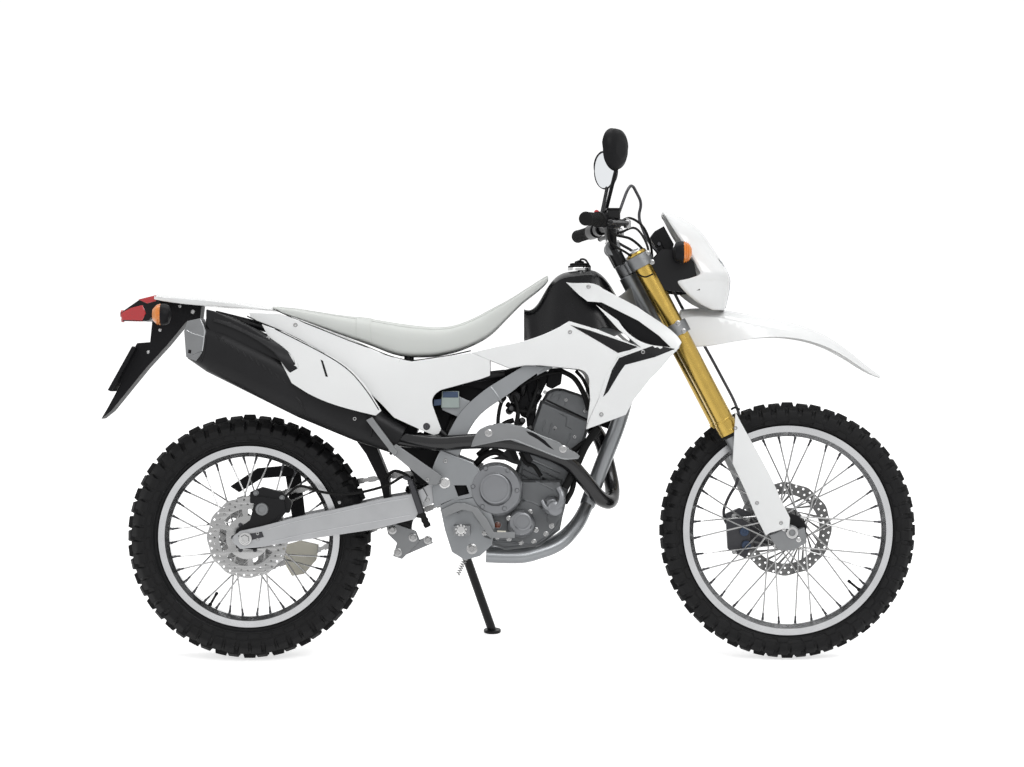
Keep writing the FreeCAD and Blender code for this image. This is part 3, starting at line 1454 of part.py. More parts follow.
def handlebar():
    """Bar that rises from the risers and sweeps back to the grips."""
    middle = bar_clamp()
    inner, end, _ = bar_line()
    right = [V(middle.x, -bar_half_width * bar_middle_share, middle.z), inner, end]
    left = [V(p.x, -p.y, p.z) for p in right]
    bar = pipe(right[::-1] + left, bar_diameter, bar_curve_share)
    risers = []
    for y in (-riser_half_spacing, riser_half_spacing):
        low = fork_point(upper_clamp_place + clamp_height / 2 + seat_gap, -riser_back, y)
        risers.append(rod(low, V(middle.x, y, middle.z), riser_diameter))
    return joined([bar] + risers)


def grips():
    _, end, line = bar_line()
    sleeve = Part.makeCylinder(grip_diameter / 2, grip_length, end - line * grip_beyond, line)
    bore = Part.makeCylinder(bar_diameter / 2 + seat_gap, grip_length + overrun, end - line * overrun, line)
    return both_sides(sleeve.cut(bore))


def perch_middle():
    """Place on the right half of the bar where the lever perch sits, and the bar's direction."""
    _, end, line = bar_line()
    return end + line * (grip_length + switch_length + perch_gap + perch_length / 2), line


def master_end():
    """Inner end of the front brake's master cylinder, and the direction from the grip to it."""
    middle, line = perch_middle()
    return middle + V(master_ahead, 0, -lever_drop) + line * (perch_length / 2), line


def master_cylinder(gap):
    """Cylinder along the bar, ahead of the right perch, grown by a gap all round."""
    end, line = master_end()
    return Part.makeCylinder(master_radius + gap, master_length + gap * 2, end + line * gap, line * -1)


def bar_controls():
    """Switch housings, master cylinder and lever perches, with their levers."""
    _, end, line = bar_line()
    start = end + line * (grip_length + seat_gap)
    housing = Part.makeCylinder(switch_radius, switch_length, start, line)
    middle, _ = perch_middle()
    perch = Part.makeCylinder(perch_radius, perch_length, middle - line * (perch_length / 2), line)
    pivot = middle + V(lever_ahead, 0, -lever_drop)
    arm = rod(middle, pivot, perch_arm_diameter)
    tip = pivot - line * lever_length
    lever = rod(pivot, tip, lever_diameter)
    knob = Part.makeSphere(lever_knob_diameter / 2, tip)
    bore = Part.makeCylinder(bar_diameter / 2 + seat_gap, grip_length * 2, start - line * overrun, line)
    right = housing.cut(bore), joined([perch, arm, lever, knob]).cut(bore)
    with_tank = joined([right[1], master_cylinder(0).cut(bore)])
    return Part.makeCompound([right[0], with_tank, mirrored(right[0]), mirrored(right[1])])


def mirrors():
    """Mirror heads, turned in towards the rider, on stems that rise from the lever perches."""
    foot, line = perch_middle()
    base = foot + V(0, 0, perch_radius)
    perch = Part.makeCylinder(perch_radius + seat_gap, perch_length * 2, foot - line * perch_length, line)
    head = V(bar_clamp().x + mirror_ahead, -mirror_y, bar_height + mirror_rise)
    stem = rod(base, head - V(0, 0, mirror_height / 2 * mirror_stem_share), mirror_stem_diameter)
    wires = []
    for ahead, size in mirror_stations_share:
        wires.append(mirror_rim(head + V(mirror_depth * ahead, 0, 0), size))
    body = Part.makeLoft(wires, True, True)
    body.rotate(head, V(0, 0, 1), -mirror_yaw_deg)
    return both_sides(joined([body, stem]).cut(perch))


def mirror_rim(centre, size):
    """Upright outline of the mirror housing in four arcs, narrower at its foot."""
    wide = mirror_width / 2 * size
    tall = mirror_height / 2 * size
    top = mirror_shoulder_share
    low = mirror_chin_share
    corners = [V(0, wide, 0), V(0, wide * top, tall * top), V(0, 0, tall), V(0, -wide * top, tall * top),
               V(0, -wide, 0), V(0, -wide * low, -tall * top), V(0, 0, -tall), V(0, wide * low, -tall * top)]
    edges = []
    for number in range(0, len(corners), 2):
        trio = [centre + corners[(number + step) % len(corners)] for step in range(3)]
        edges.append(Part.Arc(*trio).toShape())
    return Part.Wire(edges)


def cowl_solid(gap):
    """Filled form of the cowl, bowed to the front, with its walls moved in by a gap."""
    wires = []
    for (py, rear, front), share in zip(cowl_rows_px, cowl_share):
        x_rear, z = fork_spot((rear, py))
        x_front = fork_spot((front, py))[0] - gap
        half = cowl_half_width * share - gap
        x_cheek = x_rear + (x_front - x_rear) * cowl_square_share
        side = V(x_cheek, half * cowl_bow_share, z)
        bow = Part.Arc(side, V(x_front, 0, z), V(side.x, -side.y, z)).toShape()
        x_open = x_rear - overrun if gap else x_rear
        rear_left = V(x_open, half, z)
        rear_right = V(x_open, -half, z)
        wires.append(Part.Wire([Part.LineSegment(rear_right, rear_left).toShape(),
                                Part.LineSegment(rear_left, side).toShape(), bow,
                                Part.LineSegment(V(side.x, -side.y, z), rear_right).toShape()]))
    return Part.makeLoft(wires, True, False)


def lens_prism(gap):
    """Front-view outline of the lens, run fore and aft, grown by a gap."""
    x = fork_spot((cowl_rows_px[2][1], lens_low_py))[0]
    z_top = fork_spot((cowl_rows_px[2][2], lens_top_py))[1] + gap
    z_low = fork_spot((cowl_rows_px[2][2], lens_low_py))[1] - gap
    top = lens_top_half + gap
    low = lens_low_half + gap
    corners = [V(x, top, z_top), V(x, low, z_low), V(x, -low, z_low), V(x, -top, z_top)]
    return Part.Face(Part.makePolygon(corners + [corners[0]])).extrude(V(overrun * 6, 0, 0))


def headlight_cowl(fender):
    """Curved shell round the headlight, open behind and cut for the lens."""
    half = cowl_half_width + overrun
    shell = cowl_solid(0).cut(cowl_solid(cowl_wall))
    side_cut = shell.common(slab(cowl_px, half, -half, fork_spot))
    return joined(side_cut.cut([lens_prism(seat_gap), fender]).Solids)


def headlight(fender):
    """Thick lens that follows the cowl's face."""
    glass = cowl_solid(0).cut(cowl_solid(lens_wall)).common(lens_prism(0))
    return joined(glass.cut(fender).Solids)


def cowl_stay(clamps):
    """Side plates from the fork tubes to the cowl, with a cross tube under the meter."""
    y = -(cowl_half_width - cowl_wall - seat_gap)
    leg = rod(fork_point(0, clamp_offset, -fork_spacing / 2),
              fork_point(fork_outer_top, clamp_offset, -fork_spacing / 2), fork_outer_diameter + seat_gap * 2)
    plate = slab(stay_plate_px, y + cowl_wall, y, fork_spot).cut(leg)
    x, z = fork_spot(stay_tube_px, y)
    tube = rod(V(x, y + cowl_wall / 2, z), V(x, -y - cowl_wall / 2, z), stay_tube_diameter)
    return joined([plate, mirrored(plate), tube]).cut(clamps)


def meter(stay):
    return slab(meter_px, meter_half_width, -meter_half_width, fork_spot).cut(stay)


def front_fender():
    """High fender with turned-down sides, pointed at its front end."""
    outer = []
    inner = []
    for (px, py), share, drop in zip(fender_top_px, fender_share, fender_drop_px):
        x, z = fork_spot((px, py))
        low = fork_spot((px, py + drop))[1]
        half = fender_half_width * share
        top_half = half * fender_top_share
        crown = min(half * fender_crown_share, (z - low) * fender_rise_share)
        outer.append(section_ring(x, low, z, half, top_half, crown))
        inner.append(section_ring(x, low - fender_wall, z - fender_wall, half - fender_wall,
                                  top_half - fender_wall, crown))
    legs = [rod(fork_point(0, clamp_offset, side * fork_spacing / 2),
                fork_point(fork_outer_top, clamp_offset, side * fork_spacing / 2),
                fork_outer_diameter + running_gap) for side in (-1, 1)]
    clamp = clamp_bridge(lower_clamp_place, seat_gap)
    return Part.makeLoft(outer, True, False).cut([Part.makeLoft(inner, True, False), clamp] + legs)


def front_signals():
    x, z = fork_spot(front_signal_px, -front_signal_y)
    centre = V(x, -front_signal_y, z)
    inner_x, inner_z = fork_spot(front_stalk_px, cowl_wall - cowl_half_width)
    inner = V(inner_x, cowl_wall - cowl_half_width, inner_z)
    return both_sides(signal(centre, inner))


def brake_hose():
    """Hose from the master cylinder, down in front of the fork to the caliper on the left."""
    middle, line = master_end()
    places = [fork_point(*place) for place in hose_route]
    hose = pipe([middle - line * master_radius] + places, hose_diameter)
    return hose.cut(master_cylinder(seat_gap))


def front_caliper():
    """Two-piston caliper astride the front disc, behind the left leg, with its hose."""
    y = front_disc_y
    leg_side = (fork_spacing - fork_inner_diameter) / 2 - seat_gap
    block = slab(front_caliper_px, y - caliper_inner_depth, leg_side, leg_spot)
    slot = ring(front_disc_radius + disc_gap, 0, disc_wall + disc_gap * 2, front_axle + side_axis * y)
    carrier = slab(front_carrier_px, leg_side - panel_wall * 2, leg_side, leg_spot)
    return joined([joined([block, carrier]).cut(slot), brake_hose()])


# Side stand

def side_stand():
    """Leg from its pivot by the left plate to a foot that is level on the ground."""
    pivot = V(stand_pivot_x, stand_pivot_y, stand_pivot_z)
    crown = (front_tyre_width + rear_tyre_width) / 4 * crown_share
    ground = stand_foot_y * math.tan(lean) - crown * (1 - math.cos(lean)) / math.cos(lean)
    level = V(0, -math.sin(lean), math.cos(lean))
    foot = V(stand_pivot_x + stand_foot_ahead, stand_foot_y, ground)
    pad = Part.makeCylinder(stand_tube_diameter, stand_foot_wall, foot, level)
    leg = rod(pivot, foot + level * (stand_foot_wall / 2), stand_tube_diameter)
    below = Part.makeBox(overrun * 3, overrun * 3, overrun, V(-overrun * 1.5, -overrun * 1.5, -overrun))
    below.rotate(V(0, 0, 0), V(1, 0, 0), lean_deg)
    below.translate(foot)
    hinge = stand_axis()
    start = pivot - hinge * (stand_eye_length / 2)
    eye = Part.makeCylinder(stand_eye_radius, stand_eye_length, start, hinge)
    bore = Part.makeCylinder(stand_pin_radius + stand_pin_gap, stand_eye_length * 2,
                             start - hinge * (stand_eye_length / 2), hinge)
    return joined([pad, leg, eye]).cut([below, bore])


def stand_axis():
    return V(0, 1, stand_axis_rise).normalize()


# Names and bodies

def all_pieces():
    frame = frame_main()
    plate, casting = pivot_plates(frame)
    covers, generator = engine_covers()
    engine = engine_block()
    cradle = frame_cradle(casting, frame)
    arms = swingarm()
    saddle = seat()
    tank = fuel_tank(cradle)
    fender = rear_fender()
    clamps = fork_clamps()
    high_fender = front_fender()
    cowl = headlight_cowl(high_fender)
    stay = cowl_stay(clamps)
    can = muffler(0)
    pieces = {
        "frame_main": frame,
        "frame_cradle": cradle,
        "pivot_plates": Part.makeCompound([joined([plate, casting]),
                                           joined([mirrored(plate), mirrored(casting)] + stand_mount())]),
        "subframe": subframe(saddle),
        "swingarm": arms,
        "rear_axle": rear_axle_pieces(),
        "rear_suspension": rear_suspension(frame, arms),
        "engine_block": engine,
        "engine_covers": Part.makeCompound([covers, generator, front_sprocket()]),
        "radiator": radiator(cradle),
        "intake_box": intake_box(),
        "exhaust_pipe": exhaust_pipe(engine, can),
        "heat_shield": heat_shield(),
        "muffler": can,
        "muffler_cap": muffler_cap(can),
        "fuel_tank": tank,
        "fuel_cap": fuel_cap(tank),
        "seat": saddle,
        "rear_fender": fender,
        "tail_lamp": tail_lamp().cut([fender, plate_bracket()]),
        "plate_bracket": plate_bracket().cut(fender),
        "rear_signals": rear_signals(),
        "drive_chain": drive_chain(),
        "chain_guard": chain_guard(),
        "footpegs": footpegs(),
        "foot_levers": foot_levers(),
        "rear_brake": rear_brake(),
        "fork_clamps": clamps,
        "fork_outer_tubes": fork_outer_tubes(),
        "fork_lowers": fork_lowers(),
        "fork_guards": fork_guards(),
        "handlebar": handlebar(),
        "grips": grips(),
        "bar_controls": bar_controls(),
        "mirrors": mirrors(),
        "headlight_cowl": cowl,
        "headlight": headlight(high_fender),
        "cowl_stay": stay,
        "meter": meter(stay),
        "front_fender": high_fender,
        "front_signals": front_signals().cut([cowl, stay]),
        "front_caliper": front_caliper(),
        "side_stand": side_stand(),
    }
    pieces.update(body_panels())
    pieces["muffler_cover"] = muffler_cover(can).cut([pieces["rear_panels"], pieces["subframe"]])
    pieces.update(front_wheel_pieces())
    pieces.update(rear_wheel_pieces())
    return pieces


def main():
    os.makedirs("parts", exist_ok=True)
    pieces = all_pieces()
    for name, shape in pieces.items():
        shape.rotate(V(0, 0, 0), V(1, 0, 0), -lean_deg)
    box = Part.makeCompound([pieces[name] for name in pieces]).optimalBoundingBox()
    shift = V(-(box.XMin + box.XMax) / 2, -(box.YMin + box.YMax) / 2, -box.ZMin)
    for name, shape in pieces.items():
        shape.translate(shift)
        shape.exportStep("parts/" + name + ".step")
        print(name, "solids", len(shape.Solids), "valid", shape.isValid(), "faces", len(shape.Faces),
              "volume cc", round(shape.Volume / 1000, 1))
    print("moved by", shift, "box", box)


main()
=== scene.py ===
import bpy
import bmesh
import json
import math
from mathutils import Matrix, Vector
from mathutils.bvhtree import BVHTree


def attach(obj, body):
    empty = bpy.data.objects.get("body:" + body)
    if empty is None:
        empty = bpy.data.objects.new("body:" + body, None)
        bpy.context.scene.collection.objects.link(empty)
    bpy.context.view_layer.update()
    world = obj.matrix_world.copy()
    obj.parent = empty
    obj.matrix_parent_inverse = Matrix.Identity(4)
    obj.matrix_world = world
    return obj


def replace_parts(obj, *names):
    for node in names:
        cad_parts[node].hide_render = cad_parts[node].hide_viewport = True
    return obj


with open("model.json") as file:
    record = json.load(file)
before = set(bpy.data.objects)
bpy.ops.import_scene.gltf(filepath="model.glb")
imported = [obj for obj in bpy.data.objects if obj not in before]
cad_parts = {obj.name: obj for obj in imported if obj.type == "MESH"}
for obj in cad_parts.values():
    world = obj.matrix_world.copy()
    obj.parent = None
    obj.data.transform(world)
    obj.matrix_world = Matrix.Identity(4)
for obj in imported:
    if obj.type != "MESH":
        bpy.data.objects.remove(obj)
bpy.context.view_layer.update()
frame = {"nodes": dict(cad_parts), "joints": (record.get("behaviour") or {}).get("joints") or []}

nodes = frame["nodes"]

# The machine is built upright here, and each piece is leaned as the CAD is.
LEAN = math.radians(10.5)
TURN = Matrix.Rotation(-LEAN, 4, "X")
REAR_AXLE = Vector((0, 0, 0.328))
FRONT_AXLE = Vector((1.445, 0, 0.3445))
joint_place = {j["name"]: Vector(j["pos_m"]) for j in frame["joints"] if "pos_m" in j}
SHIFT = joint_place["rear_wheel_spin"] - TURN @ REAR_AXLE
UPRIGHT = Matrix.Translation(SHIFT) @ TURN

# Camera of the photograph, with its middle in pixels and its distance in metres
MIDDLE_PX, MIDDLE_PY = 512, 383.5
FAR = 7.0
FOCAL_PX = 2601.3
EYE = Vector((0.705, -FAR, 0.7387))

# Pixels of known places on the machine, and where they stand in metres
REAR_PX = 250.0
GROUND_PY = 658.0
SEAT_PY, SEAT_Z = 327.2, 0.89
HEAD_PX, HEAD_PY = 638.8, 293.7
STEER_PX = 829
FRONT_PX, FRONT_PY = 787, 530
RAKE = math.radians(27.58)
GROUND_X = 1.558
HEAD_Z = 0.98
HEAD_X = GROUND_X - HEAD_Z * math.tan(RAKE)
X_PER_PX = HEAD_X / (HEAD_PX - REAR_PX)
Z_PER_PX = SEAT_Z / (GROUND_PY - SEAT_PY)


def seen(px, py, y):
    """Pixel of the middle plane that stands for one seen at a width."""
    grow = 1 + y / FAR
    return MIDDLE_PX + (px - MIDDLE_PX) * grow, MIDDLE_PY + (py - MIDDLE_PY) * grow


def at(px, py, y=0.0):
    """A place on the frame, from a pixel of the photograph and a width."""
    sx, sy = seen(px, py, y)
    return Vector(((sx - REAR_PX) * X_PER_PX, y, (GROUND_PY - sy) * Z_PER_PX))


def fork_at(px, py, y=0.0):
    """The same for what turns with the fork."""
    sx, sy = seen(px, py, y)
    z = (GROUND_PY - sy) * Z_PER_PX
    axis_px = HEAD_PX + (STEER_PX - HEAD_PX) * (sy - HEAD_PY) / (GROUND_PY - HEAD_PY)
    return Vector((GROUND_X - z * math.tan(RAKE) + (sx - axis_px) * X_PER_PX, y, z))


def leg_at(px, py, y=0.0):
    """The same for what is by the front axle."""
    sx, sy = seen(px, py, y)
    ax, ay = seen(FRONT_PX, FRONT_PY, y)
    return FRONT_AXLE + Vector(((sx - ax) * X_PER_PX, y, (ay - sy) * Z_PER_PX))


INVERSE = UPRIGHT.inverted()
Y_AXIS = Vector((0, 1, 0))
X_AXIS = Vector((1, 0, 0))
Z_AXIS = Vector((0, 0, 1))
RIGHT = Vector((0, -1, 0))
UP_FORK = Vector((-math.sin(RAKE), 0, math.cos(RAKE)))
trees = {}


def tree_of(name):
    """Search tree of a CAD node, in the upright frame."""
    if name not in trees:
        mesh = nodes[name].data
        verts = [INVERSE @ v.co for v in mesh.vertices]
        trees[name] = BVHTree.FromPolygons(verts, [tuple(p.vertices) for p in mesh.polygons])
    return trees[name]


def look(px, py, names):
    """Nearest place and normal on some nodes, seen through a pixel of the photograph."""
    aim = Vector(((px - MIDDLE_PX) / FOCAL_PX, 1, (MIDDLE_PY - py) / FOCAL_PX)).normalized()
    best = None
    for name in names:
        place, normal, _, far = tree_of(name).ray_cast(EYE, aim)
        if place is not None and (best is None or far < best[2]):
            best = (place, normal if normal.dot(aim) < 0 else -normal, far)
    return best


# Mesh building, in the upright frame

def piece(name, bm, material, body="chassis", sharp=38.0, bevel=0.0):
    """Turn a built mesh into a piece that leans and moves with its body; a film has no sharp angle."""
    mesh = bpy.data.meshes.new(name)
    if sharp:
        bmesh.ops.recalc_face_normals(bm, faces=bm.faces)
    bm.to_mesh(mesh)
    bm.free()
    mesh.transform(UPRIGHT)
    for poly in mesh.polygons:
        poly.use_smooth = True
    if sharp:
        mesh.set_sharp_from_angle(angle=math.radians(sharp))
    mesh.materials.append(material)
    obj = bpy.data.objects.new(name, mesh)
    bpy.context.scene.collection.objects.link(obj)
    if bevel:
        soften(obj, bevel)
    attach(obj, body)
    return obj


def soften(obj, width, clamp=True):
    """Round a piece's edges."""
    mod = obj.modifiers.new("edges", "BEVEL")
    mod.width = width
    mod.segments = 2
    mod.limit_method = "ANGLE"
    mod.angle_limit = math.radians(40)
    mod.use_clamp_overlap = clamp


def walled(obj, thickness):
    """Give a skin a wall, on its inner side."""
    wall = obj.modifiers.new("wall", "SOLIDIFY")
    wall.thickness = thickness
    wall.offset = -1


def both(bm):
    """Add the mirror image of a built mesh on the machine's other side."""
    copy = bmesh.ops.duplicate(bm, geom=bm.verts[:] + bm.edges[:] + bm.faces[:])["geom"]
    for vert in (g for g in copy if isinstance(g, bmesh.types.BMVert)):
        vert.co.y = -vert.co.y
    bmesh.ops.reverse_faces(bm, faces=[g for g in copy if isinstance(g, bmesh.types.BMFace)])


def skin(bm, rings, wrap=True, loop=False):
    """Faces between rows of points; rows may close on themselves, and the last row on the first."""
    rows = [[bm.verts.new(co) for co in ring] for ring in rings]
    for one, two in zip(rows, rows[1:] + (rows[:1] if loop else [])):
        count = len(one)
        for i in range(count if wrap else count - 1):
            j = (i + 1) % count
            bm.faces.new((one[i], one[j], two[j], two[i]))
    return rows


def loft(bm, rings):
    """Closed solid over a row of rings."""
    rows = skin(bm, rings)
    bm.faces.new(rows[0][::-1])
    bm.faces.new(rows[-1])


def across(axis):
    """Two directions across an axis and each other."""
    helper = X_AXIS if abs(axis.x) < 0.9 else Z_AXIS
    side = axis.cross(helper).normalized()
    return side, axis.cross(side).normalized()


def lathe(bm, centre, axis, profile, sides):
    """Turn a profile of (radius, height) round an axis; both ends are closed."""
    axis = axis.normalized()
    one, two = across(axis)
    turns = [2 * math.pi * i / sides for i in range(sides)]
    loft(bm, [[centre + axis * height + one * (radius * math.cos(turn)) + two * (radius * math.sin(turn))
               for turn in turns] for radius, height in profile])


def bolt(bm, place, axis, radius, height):
    """Hexagon head with a round flange and a chamfered crown."""
    flange = radius * 1.35
    lathe(bm, place, axis, [(flange, -height * 0.2), (flange, height * 0.22), (flange * 0.92, height * 0.3)], 20)
    lathe(bm, place, axis, [(radius, height * 0.2), (radius, height * 0.85), (radius * 0.84, height),
                            (radius * 0.5, height), (radius * 0.46, height * 0.86)], 6)


def screw(bm, place, axis, radius, height):
    """Round domed head with a hexagon socket."""
    lathe(bm, place, axis, [(radius, -height), (radius, height * 0.4), (radius * 0.86, height * 0.9),
                            (radius * 0.5, height), (radius * 0.46, -height * 0.1)], 18)


def smooth_line(points, steps=6):
    """Points of an even curve through the given ones."""
    if len(points) < 3:
        return list(points)
    line = [points[0] * 2 - points[1]] + list(points) + [points[-1] * 2 - points[-2]]
    out = []
    for i in range(1, len(line) - 2):
        p0, p1, p2, p3 = line[i - 1:i + 3]
        for step in range(steps):
            t = step / steps
            out.append(0.5 * (p1 * 2 + (p2 - p0) * t + (p0 * 2 - p1 * 5 + p2 * 4 - p3) * t * t
                              + (p1 * 3 - p0 - p2 * 3 + p3) * t ** 3))
    out.append(line[-2])
    return out


def tube(bm, points, radius, sides=10, steps=6):
    """Round tube through points."""
    line = smooth_line(points, steps)
    side = across((line[1] - line[0]).normalized())[0]
    rings = []
    for i, place in enumerate(line):
        tangent = (line[min(i + 1, len(line) - 1)] - line[max(i - 1, 0)]).normalized()
        side = (side - tangent * side.dot(tangent)).normalized()
        other = tangent.cross(side)
        rings.append([place + side * (radius * math.cos(2 * math.pi * k / sides))
                      + other * (radius * math.sin(2 * math.pi * k / sides)) for k in range(sides)])
    loft(bm, rings)


def plate(bm, corners, depth):
    """Flat plate from its corners, thickened along a vector."""
    loft(bm, [list(corners), [c + depth for c in corners]])


def seen_plate(bm, pixels, near, far, view=at):
    """Plate drawn over the photograph, between two widths; its outline is seen from the near side."""
    plate(bm, [view(px, py, near) for px, py in pixels], Y_AXIS * (far - near))


def ring_points(radius, count, wave=0.0, waves=0):
    """Round outline, with waves if wanted."""
    angles = [2 * math.pi * i / count for i in range(count)]
    return [(radius * (1 + wave * math.cos(waves * a)) * math.sin(a),
             radius * (1 + wave * math.cos(waves * a)) * math.cos(a)) for a in angles]


def pierced(name, outlines, thickness, bevel, material, body, centre):
    """Flat disc with holes: closed outlines in the wheel's plane, thickened across it."""
    curve = bpy.data.curves.new(name, "CURVE")
    curve.dimensions = "2D"
    curve.fill_mode = "BOTH"
    curve.extrude = thickness / 2 - bevel
    curve.bevel_depth = bevel
    curve.bevel_resolution = 1
    for outline in outlines:
        spline = curve.splines.new("POLY")
        spline.points.add(len(outline) - 1)
        for point, (x, y) in zip(spline.points, outline):
            point.co = (x, y, 0, 1)
        spline.use_cyclic_u = True
    holder = bpy.data.objects.new(name + "_outline", curve)
    bpy.context.scene.collection.objects.link(holder)
    bpy.context.view_layer.update()
    mesh = bpy.data.meshes.new_from_object(holder)
    bpy.data.objects.remove(holder)
    bpy.data.curves.remove(curve)
    bm = bmesh.new()
    bm.from_mesh(mesh)
    bpy.data.meshes.remove(mesh)
    bmesh.ops.remove_doubles(bm, verts=bm.verts, dist=0.00001)
    for vert in bm.verts:
        vert.co = centre + Vector((vert.co.x, vert.co.z, vert.co.y))
    return piece(name, bm, material, body, sharp=30)


def draped(name, pixels, names, material, lift):
    """Thin film laid on some nodes, over an outline drawn in the photograph."""
    bm = bmesh.new()
    face = bm.faces.new([bm.verts.new((px, py, 0)) for px, py in pixels])
    bmesh.ops.triangulate(bm, faces=[face])
    for _ in range(5):
        long = [e for e in bm.edges if e.calc_length() > 4]
        if not long:
            break
        bmesh.ops.subdivide_edges(bm, edges=long, cuts=1)
        bmesh.ops.triangulate(bm, faces=[f for f in bm.faces if len(f.verts) > 3])
    lost = []
    for vert in bm.verts:
        found = look(vert.co.x, vert.co.y, names)
        if found is None:
            lost.append(vert)
        else:
            vert.co = found[0] + found[1] * lift
    bmesh.ops.delete(bm, geom=lost, context="VERTS")
    long = [e for e in bm.edges if e.calc_length() > 0.06]
    bmesh.ops.delete(bm, geom=long, context="EDGES")
    bmesh.ops.delete(bm, geom=[v for v in bm.verts if not v.link_faces], context="VERTS")
    for face in bm.faces:
        if face.normal.y > 0:
            face.normal_flip()
    piece(name, bm, material, sharp=None)


# Materials

def shader(name):
    """New material with its node tree and its shader."""
    mat = bpy.data.materials.new(name)
    mat.use_nodes = True
    return mat, mat.node_tree, mat.node_tree.nodes["Principled BSDF"]


def noise(tree, scale, detail=4.0):
    coord = tree.nodes.new("ShaderNodeTexCoord")
    tex = tree.nodes.new("ShaderNodeTexNoise")
    tex.inputs["Scale"].default_value = scale
    tex.inputs["Detail"].default_value = detail
    tex.inputs["Roughness"].default_value = 0.55
    tree.links.new(coord.outputs["Object"], tex.inputs["Vector"])
    return tex.outputs["Fac"]


def ramp(tree, source, stops):
    node = tree.nodes.new("ShaderNodeValToRGB")
    for element, (place, colour) in zip(node.color_ramp.elements, stops):
        element.position = place
        element.color = (*colour, 1)
    tree.links.new(source, node.inputs["Fac"])
    return node.outputs["Color"]


def spread(tree, source, low, high):
    node = tree.nodes.new("ShaderNodeMapRange")
    node.inputs["To Min"].default_value = low
    node.inputs["To Max"].default_value = high
    tree.links.new(source, node.inputs["Value"])
    return node.outputs["Result"]


def bump(tree, bsdf, source, strength, distance):
    node = tree.nodes.new("ShaderNodeBump")
    node.inputs["Strength"].default_value = strength
    node.inputs["Distance"].default_value = distance
    tree.links.new(source, node.inputs["Height"])
    tree.links.new(node.outputs["Normal"], bsdf.inputs["Normal"])


def shade(colour, factor):
    return tuple(min(1, c * factor) for c in colour)


def finish(name, colour, rough, metal=0.0, vary=0.08, grain=500, depth=0.00005, strength=0.25, coat=0.0,
           patch=9.0, rough_vary=0.08, gleam=0.5):
    """Colour that drifts a little, roughness that follows wear, and a fine surface grain."""
    mat, tree, bsdf = shader(name)
    tint = ramp(tree, noise(tree, patch), [(0.3, shade(colour, 1 - vary)), (0.7, shade(colour, 1 + vary))])
    tree.links.new(tint, bsdf.inputs["Base Color"])
    wear = spread(tree, noise(tree, patch * 4, 6), max(0.02, rough - rough_vary), rough + rough_vary)
    tree.links.new(wear, bsdf.inputs["Roughness"])
    bsdf.inputs["Metallic"].default_value = metal
    bsdf.inputs["Coat Weight"].default_value = coat
    bsdf.inputs["Coat Roughness"].default_value = 0.06
    bsdf.inputs["Specular IOR Level"].default_value = gleam
    bump(tree, bsdf, noise(tree, grain, 3), strength, depth)
    return mat


# Plastics and rubber
WHITE = finish("white_plastic", (0.88, 0.89, 0.89), 0.24, vary=0.012, grain=60, depth=0.00004,
               strength=0.08, coat=0.3)
BLACK_PLASTIC = finish("black_plastic", (0.006, 0.006, 0.007), 0.5, vary=0.2, grain=1500,
                       depth=0.00012, strength=0.5, gleam=0.14)
BLACK_SATIN = finish("black_moulding", (0.005, 0.005, 0.006), 0.26, vary=0.1, grain=1200,
                     depth=0.00006, strength=0.3, gleam=0.22)
CREAM = finish("cream_plastic", (0.80, 0.77, 0.66), 0.45, vary=0.04, depth=0.00008)
PALE = finish("pale_plastic", (0.36, 0.42, 0.40), 0.4, grain=400, depth=0.00008)
SWITCH_RED = finish("switch_red", (0.45, 0.012, 0.02), 0.35, vary=0.05, grain=400)
RUBBER = finish("rubber", (0.006, 0.006, 0.006), 0.60, vary=0.15, grain=900, depth=0.00015, strength=0.4,
                gleam=0.15)
TYRE = finish("tyre_rubber", (0.006, 0.006, 0.0065), 0.60, vary=0.3, grain=420, depth=0.0003, strength=0.5,
              patch=16, gleam=0.2)
SEAT = finish("seat_cover", (0.64, 0.66, 0.635), 0.55, vary=0.025, grain=1400, depth=0.00025,
              strength=0.45)

# Paint and metals
BLACK_PAINT = finish("black_paint", (0.006, 0.006, 0.007), 0.34, vary=0.12, coat=0.04, gleam=0.2)
SILVER = finish("silver_paint", (0.25, 0.26, 0.27), 0.36, metal=0.75, vary=0.05, grain=900,
                depth=0.00004, coat=0.2)
ALLOY = finish("brushed_alloy", (0.40, 0.405, 0.415), 0.33, metal=1.0, vary=0.06, grain=700)
CAST = finish("cast_alloy", (0.21, 0.215, 0.22), 0.45, metal=0.9, vary=0.09, grain=900, depth=0.0002,
              strength=0.45)
STEEL = finish("bright_steel", (0.36, 0.36, 0.36), 0.26, metal=1.0, depth=0.00004)
RIM = finish("polished_rim", (0.56, 0.565, 0.575), 0.22, metal=1.0, vary=0.05, depth=0.00004)
DISC = finish("disc_steel", (0.13, 0.13, 0.13), 0.30, metal=1.0, vary=0.12, grain=600)
DARK_STEEL = finish("dark_steel", (0.06, 0.06, 0.065), 0.38, metal=0.9, vary=0.15, grain=700,
                    depth=0.0001)
CHROME = finish("chrome", (0.52, 0.52, 0.52), 0.08, metal=1.0, vary=0.02, grain=300, depth=0.00001,
                rough_vary=0.03)
GOLD = finish("gold_anodised", (0.47, 0.32, 0.075), 0.26, metal=0.95, vary=0.06, grain=600,
              depth=0.00003, coat=0.15)
TEAL = finish("blue_anodised", (0.05, 0.075, 0.13), 0.35, metal=0.5, vary=0.12)
ENGINE = finish("engine_castings", (0.125, 0.13, 0.135), 0.46, metal=0.6, vary=0.14, grain=1100,
                depth=0.0002, strength=0.5)
COVER = finish("satin_cover", (0.20, 0.205, 0.215), 0.38, metal=0.85, vary=0.06, grain=1100,
               depth=0.00008, strength=0.3)
